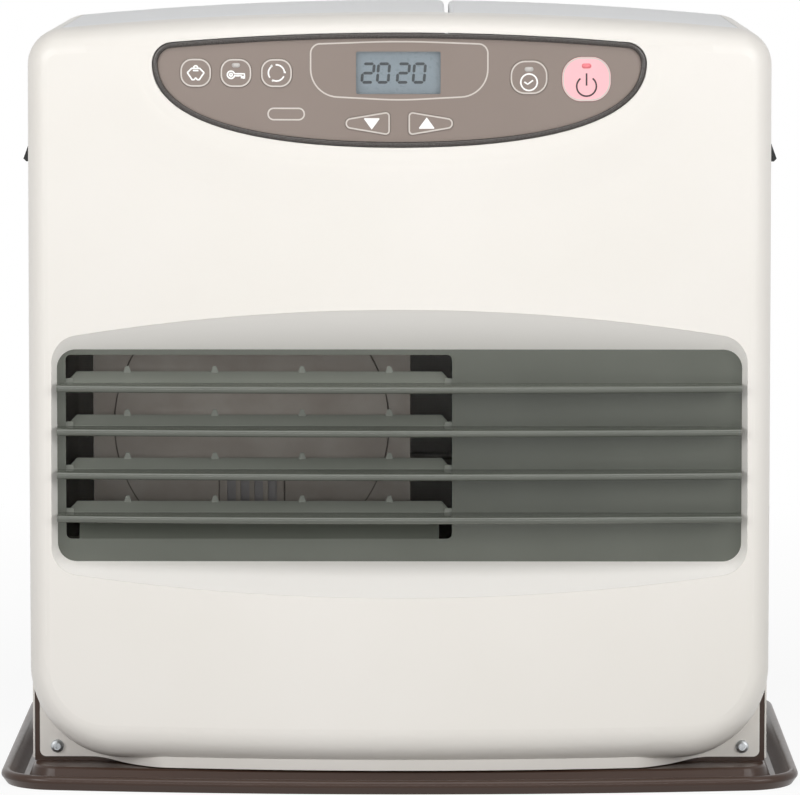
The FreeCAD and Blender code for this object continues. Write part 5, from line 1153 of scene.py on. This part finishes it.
@dataclass
class Display:
    """Digits of the liquid crystal display, sizes in millimetres."""

    height: float = 10.1
    width: float = 6.0
    stroke: float = 1.55
    gap: float = 0.22
    slant: float = 0.085
    lefts: tuple[float, ...] = (-20.5, -12.1, -1.2, 7.5)
    shown: str = "2020"
    low_z: float = 392.0
    half_thick: float = 0.03
    lift: float = 0.04

    def segment(self) -> bpy.types.Mesh:
        """Shape one pointed bar that lies across.

        Returns:
            Its mesh, with its middle at the origin.
        """
        t = self.stroke / 2 * MM
        half = (self.width / 2 - self.gap) * MM
        rim = [(-half, 0), (-half + t, -t), (half - t, -t), (half, 0), (half - t, t), (-half + t, t)]
        depth = self.half_thick * MM
        points = [(x, y, z) for y in (-depth, depth) for x, z in rim]
        faces = [tuple(range(6)), tuple(range(11, 5, -1))]
        faces += [(i, i + 6, (i + 1) % 6 + 6, (i + 1) % 6) for i in range(6)]
        mesh = bpy.data.meshes.new("segment")
        mesh.from_pydata(points, [], faces)
        return mesh

    def build(self) -> None:
        """Set the bars of every digit on the module's face."""
        lo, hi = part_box("lcd_module")
        face_y = lo.y / MM - self.lift
        w, h = self.width, self.height
        tall = (h / 2) / w
        level = (0.0, 0.0, 0.0)
        up = (0.0, math.pi / 2, 0.0)
        bars = {"a": (w / 2, h, level, 1.0), "g": (w / 2, h / 2, level, 1.0), "d": (w / 2, 0.0, level, 1.0),
                "b": (w, h * 0.75, up, tall), "c": (w, h * 0.25, up, tall), "e": (0.0, h * 0.25, up, tall),
                "f": (0.0, h * 0.75, up, tall)}
        lit = {"2": "abged", "0": "abcdef"}
        spots = []
        for left, digit in zip(self.lefts, self.shown):
            for name in lit[digit]:
                x, z, turn, size = bars[name]
                spots.append(Spot((left + x, face_y, self.low_z + z), turn, (size, 1.0, 1.0)))
        digits = SCATTER.make("display_digits", spots, self.segment(), Surface.LCD_INK)
        for vertex in digits.data.vertices:
            vertex.co.x += self.slant * (vertex.co.z - self.low_z * MM)
        settle(digits, Body.CABINET, Slot.LCD)


@dataclass
class PressedRim:
    """Low rim pressed into the front round the panel's sides and foot, sizes in millimetres."""

    shelf: float = 0.25
    crest: float = 0.35
    shelf_reach: float = 3.0
    dip_reach: float = 4.6
    rise_from: float = 6.2
    crest_reach: float = 9.8
    skirt_reach: float = 36.0
    sink: float = 0.06
    thick: float = 0.4
    gap: float = 0.4
    fade_from: float = 396.0
    fade_to: float = 412.0
    end_steps: int = 5

    def build(self, panel: ControlPanel) -> None:
        """Lay the rim on the front.

        Args:
            panel: The panel that the rim follows.
        """
        path = self.path(panel)
        reaches = [self.shelf_reach * i / 3 for i in range(4)] + [self.dip_reach]
        reaches += [self.rise_from + (self.crest_reach - self.rise_from) * i / 4 for i in range(5)]
        skirt = self.skirt_reach - self.crest_reach
        reaches += [self.crest_reach + skirt * (i / 8) ** 1.5 for i in range(1, 9)]
        ends = zip([path[0]] + path, path, path[1:] + [path[-1]])
        grid = [[self.shape(p, q, r, reach) for reach in reaches] for p, q, r in ends]
        rows, columns = len(grid), len(reaches)
        points = [FRONT.point(x, z, -h) for row in grid for x, z, h in row]
        under = len(points)
        points += [FRONT.point(x, z, self.thick) for row in grid for x, z, h in row]
        faces = []
        for i in range(rows - 1):
            for k in range(columns - 1):
                a = i * columns + k
                faces.append((a, a + columns, a + columns + 1, a + 1))
                faces.append((under + a, under + a + 1, under + a + columns + 1, under + a + columns))
        for i in range(rows - 1):
            for k, flip in ((0, False), (columns - 1, True)):
                a = i * columns + k
                quad = (a, under + a, under + a + columns, a + columns)
                faces.append(quad[::-1] if flip else quad)
        for k in range(columns - 1):
            for i, flip in ((0, True), (rows - 1, False)):
                a = i * columns + k
                quad = (a, under + a, under + a + 1, a + 1)
                faces.append(quad[::-1] if flip else quad)
        rim = new_piece("panel_rim", points, faces, Surface.WHITE_ENAMEL)
        rim.data.shade_smooth()
        rim.data.set_sharp_from_angle(angle=math.radians(SHARP_DEG))
        settle(rim, Body.CABINET, Slot.ENAMEL)

    def path(self, panel: ControlPanel) -> list[Point2]:
        """Find the line that the rim starts from: down the left side, round the foot and up the right side.

        Args:
            panel: The panel that the rim follows.

        Returns:
            The points, from the left end to the right one.
        """
        outline = panel.outline(self.gap, 60)
        waist = min(outline, key=lambda spot: spot[0])[1]
        lower = [spot for spot in outline if spot[1] <= waist + 0.001]
        rise = [self.fade_to - (self.fade_to - waist) * i / self.end_steps for i in range(self.end_steps)]
        return [(lower[0][0], z) for z in rise] + lower + [(lower[-1][0], z) for z in reversed(rise)]

    def shape(self, before: Point2, here: Point2, after: Point2, reach: float) -> Point3:
        """Find the place and height of the rim.

        Args:
            before: Point before this one on the panel's outline.
            here: Point on the outline.
            after: Point after it.
            reach: Distance outwards.

        Returns:
            Place across, height up and how far it stands proud.
        """
        along = Vector((after[0] - before[0], after[1] - before[1])).normalized()
        x, z = here[0] + along.y * reach, here[1] - along.x * reach
        fall = self.shelf + self.crest + self.sink
        rise = (self.shelf * self.ease(reach, 0.0, self.shelf_reach)
                + self.crest * self.ease(reach, self.rise_from, self.crest_reach)
                - fall * self.ease(reach, self.crest_reach, self.skirt_reach))
        fade = 1 - self.ease(here[1], self.fade_from, self.fade_to)
        return x, z, rise * fade - self.sink * (1 - fade)

    @staticmethod
    def ease(value: float, start: float, stop: float) -> float:
        """Smooth step from 0 at start to 1 at stop."""
        t = min(max((value - start) / (stop - start), 0.0), 1.0)
        return t * t * (3 - 2 * t)


@dataclass
class AirFilter:
    """Fine net in the frame of the rear air filter, sizes in millimetres."""

    pitch: float = 2.4
    thread: float = 0.45
    margin: float = 7.0
    depth: float = 2.0

    def build(self) -> None:
        """Weave the net between the frame's bars."""
        lo, hi = (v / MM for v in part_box("air_filter"))
        left, low = lo.x + self.margin, lo.z + self.margin
        width, tall = hi.x - lo.x - 2 * self.margin, hi.z - lo.z - 2 * self.margin
        middle = ((lo.x + hi.x) / 2, (lo.z + hi.z) / 2)
        y = lo.y + self.depth
        spots = []
        for k in range(int(width / self.pitch)):
            x = left + (k + 0.5) * self.pitch
            spots.append(Spot((x, y, middle[1]), size=(self.thread, self.thread, tall)))
        for k in range(int(tall / self.pitch)):
            z = low + (k + 0.5) * self.pitch
            spots.append(Spot((middle[0], y + self.thread, z), size=(width, self.thread, self.thread)))
        side = 0.5 * MM
        points = [(x, y, z) for x in (-side, side) for y in (-side, side) for z in (-side, side)]
        faces = [(0, 1, 3, 2), (4, 6, 7, 5), (0, 4, 5, 1), (2, 3, 7, 6), (0, 2, 6, 4), (1, 5, 7, 3)]
        thread = bpy.data.meshes.new("thread")
        thread.from_pydata(points, [], faces)
        net = SCATTER.make("filter_net", spots, thread, Surface.FILTER_NET)
        settle(net, Body.FILTER, Slot.GREY_PLASTIC)


@dataclass
class ChamberFront:
    """Dark joint lines of painted shade, and a grey sheet of painted light behind the vent, on the combustion
    chamber's front, sizes in millimetres.
    """

    drum_r: float = 77.0
    drum_at: Point2 = (-83.5, 195.8)
    vent_at: Point2 = (-83.5, 160.0)
    vent_size: Point3 = (36.0, 32.0, 2.0)
    pane_insets: Point2 = (0.05, 0.6)
    sheet: float = 1.0
    bead: float = 0.4
    sides: int = 8
    drum_steps: int = 120

    def build(self) -> None:
        """Lay the joint lines of painted shade round the drum cover and the vent, and the grey sheet of
        painted light behind the vent.
        """
        lo, hi = (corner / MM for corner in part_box("chamber_front"))
        drum = arc(self.drum_at, self.drum_r + self.bead, 0, 360, self.drum_steps)[:-1]
        width, height, radius = self.vent_size
        vent = rounded_box(self.vent_at, width + 2 * self.bead, height + 2 * self.bead, radius + self.bead)
        points: list[Vector] = []
        faces: list[tuple[int, ...]] = []
        # Dark beads round the drum cover and the vent: painted shade of the seams.
        self.add_joint(points, faces, drum, hi.y - self.sheet)
        self.add_joint(points, faces, vent, lo.y + self.sheet)
        joints = new_piece("chamber_joints", points, faces, Surface.DARK_JOINT)
        joints.data.shade_smooth()
        settle(joints, Body.CABINET, Slot.CHAMBER)
        # A grey sheet behind the vent: painted light where the inside of the chamber is dark.
        outline = rounded_box(self.vent_at, width, height, radius)
        pane = plate("vent_pane", [outline], self.pane_insets, Surface.MICA, ground=FlatSurface(hi.y))
        settle(pane, Body.CABINET, Slot.CHAMBER)

    def add_joint(self, points: list[Vector], faces: list[tuple[int, ...]], loop: Sequence[Point2],
                  y: float) -> None:
        """Add a thin round bead along a closed loop.

        Args:
            points: Points of the mesh, added to.
            faces: Faces of the mesh, added to.
            loop: Points of the loop, anticlockwise.
            y: Depth of the bead's middle.
        """
        first, count = len(points), len(loop)
        for i, (x, z) in enumerate(loop):
            before, after = loop[i - 1], loop[(i + 1) % count]
            along = Vector((after[0] - before[0], 0.0, after[1] - before[1])).normalized()
            out = Vector((along.z, 0.0, -along.x))
            for k in range(self.sides):
                angle = 2 * math.pi * k / self.sides
                spoke = out * math.cos(angle) + Vector((0.0, -1.0, 0.0)) * math.sin(angle)
                points.append((Vector((x, y, z)) + spoke * self.bead) * MM)
        for i in range(count):
            a = first + i * self.sides
            b = first + (i + 1) % count * self.sides
            for k in range(self.sides):
                n = (k + 1) % self.sides
                faces.append((a + k, a + n, b + n, b + k))


@dataclass(frozen=True)
class Softbox:
    """A rectangular lamp, in metres and watts."""

    name: str
    at: Point3
    size: Point2
    power: float


@dataclass
class Studio:
    """Pale floor, soft lamps and the camera, in metres."""

    lamps: tuple[Softbox, ...] = (
        Softbox("overhead_softbox", (0.0, -1.55, 2.85), (2.8, 1.4), 37.0),
        Softbox("left_softbox", (-2.3, -2.4, 1.3), (1.4, 1.4), 37.0),
        Softbox("right_softbox", (2.3, -2.4, 1.3), (1.4, 1.4), 38.0),
        Softbox("front_strip", (0.0, -3.3, 0.5), (2.6, 0.2), 13.0),
    )
    aim: Point3 = (0.0, -0.1, 0.25)
    ambient: float = 0.03
    floor_half: float = 30.0
    paper_tone: str = "f4f4f4"
    fade_reach: Point2 = (0.35, 1.2)
    fade_share: Point2 = (0.92, 1.0)
    # Glow of the floor for rays that light the heater: painted bounce light, dimmer near the heater as a
    # painted shadow.
    glow_reach: Point2 = (0.25, 1.0)
    glow: Point2 = (0.55, 0.9)
    camera_at: Point3 = (0.01507, -3.2601, 0.53856)
    pitch_deg: float = 84.15
    yaw: float = 0.0047
    lens_mm: float = 256.8
    sensor_mm: float = 36.0
    view_reach: float = 200.0

    def build(self) -> None:
        """Make the floor, the light and the camera."""
        self.build_floor()
        self.build_world()
        for lamp in self.lamps:
            self.add_lamp(lamp)
        self.add_camera()

    @staticmethod
    def seen(tree: bpy.types.NodeTree) -> bpy.types.NodeSocket:
        """Tell the rays that see a surface from those that light others with it.

        Args:
            tree: Tree that gets the nodes.

        Returns:
            The socket that is 1 for camera, glossy and transmission rays, else 0.
        """
        path = add_node(tree, "ShaderNodeLightPath")
        direct = add_node(tree, "ShaderNodeMath", {"operation": "MAXIMUM"},
                          {0: path.outputs["Is Camera Ray"], 1: path.outputs["Is Glossy Ray"]})
        every = add_node(tree, "ShaderNodeMath", {"operation": "MAXIMUM"},
                         {0: direct.outputs[0], 1: path.outputs["Is Transmission Ray"]})
        return every.outputs[0]

    def build_floor(self) -> None:
        """A wide floor that keeps the heater's shadow and fades to white."""
        mesh = bpy.data.meshes.new("floor")
        far = self.floor_half
        mesh.from_pydata([(-far, -far, 0), (far, -far, 0), (far, far, 0), (-far, far, 0)], [], [(0, 1, 2, 3)])
        floor = new_object("floor", mesh)
        # Matt white paper: it takes a soft shadow near the heater and is plain white further out.
        material = bpy.data.materials.new("floor_paper")
        material.use_nodes = True
        tree = material.node_tree
        tree.nodes.clear()
        coords = add_node(tree, "ShaderNodeTexCoord")
        reach = add_node(tree, "ShaderNodeVectorMath", {"operation": "LENGTH"}, {0: coords.outputs["Object"]})
        fade, glow = (add_node(tree, "ShaderNodeMapRange",
                               {"From Min": start, "From Max": stop, "To Min": near, "To Max": wide},
                               {"Value": reach.outputs["Value"]})
                      for (start, stop), (near, wide) in ((self.fade_reach, self.fade_share),
                                                          (self.glow_reach, self.glow)))
        # Rays that light the heater see the floor glow: painted bounce light, with a painted shadow near the
        # heater.
        level = add_node(tree, "ShaderNodeMix", {"data_type": "FLOAT", "B": 1.0},
                         {"Factor": self.seen(tree), "A": glow.outputs["Result"]})
        paper = add_node(tree, "ShaderNodeBsdfDiffuse", {"Color": linear(self.paper_tone)})
        white = add_node(tree, "ShaderNodeEmission", {"Color": linear("ffffff")},
                         {"Strength": level.outputs[0]})
        mix = add_node(tree, "ShaderNodeMixShader", None,
                       {0: fade.outputs["Result"], 1: paper.outputs[0], 2: white.outputs[0]})
        add_node(tree, "ShaderNodeOutputMaterial", None, {"Surface": mix.outputs[0]})
        mesh.materials.append(material)

    def build_world(self) -> None:
        """White to the eye and in reflections, softer as light."""
        world = bpy.data.worlds.new("studio")
        bpy.context.scene.world = world
        world.use_nodes = True
        tree = world.node_tree
        tree.nodes.clear()
        level = add_node(tree, "ShaderNodeMapRange", {"To Min": self.ambient, "To Max": 1.0},
                         {"Value": self.seen(tree)})
        sky = add_node(tree, "ShaderNodeBackground", {"Color": linear("ffffff")},
                       {"Strength": level.outputs["Result"]})
        add_node(tree, "ShaderNodeOutputWorld", None, {"Surface": sky.outputs[0]})

    def add_lamp(self, box: Softbox) -> None:
        """Add a softbox that faces the heater.

        Args:
            box: The softbox.
        """
        lamp = bpy.data.lights.new(box.name, "AREA")
        lamp.shape = "RECTANGLE"
        lamp.size, lamp.size_y = box.size
        lamp.energy = box.power
        holder = bpy.data.objects.new(box.name, lamp)
        holder.location = box.at
        holder.rotation_euler = (Vector(self.aim) - Vector(box.at)).to_track_quat("-Z", "Y").to_euler()
        holder.visible_camera = False
        bpy.context.scene.collection.objects.link(holder)

    def add_camera(self) -> None:
        """Long lens a little above the heater, as in the photograph."""
        camera = bpy.data.cameras.new("camera")
        camera.sensor_width = self.sensor_mm
        camera.lens = self.lens_mm
        camera.clip_end = self.view_reach
        holder = bpy.data.objects.new("camera", camera)
        holder.location = self.camera_at
        holder.rotation_euler = (math.radians(self.pitch_deg), 0.0, self.yaw)
        bpy.context.scene.collection.objects.link(holder)
        bpy.context.scene.camera = holder


def main() -> None:
    """Build and dress the heater, then the studio."""
    logging.basicConfig(level=logging.INFO, format="%(name)s: %(message)s")
    bpy.context.scene.view_settings.view_transform = "Standard"
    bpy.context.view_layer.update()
    Shell().dress()
    FrontSheet().build()
    panel = ControlPanel()
    panel.build()
    Display().build()
    PressedRim().build(panel)
    ChamberFront().build()
    AirFilter().build()
    Studio().build()


if __name__ == "__main__":
    main()
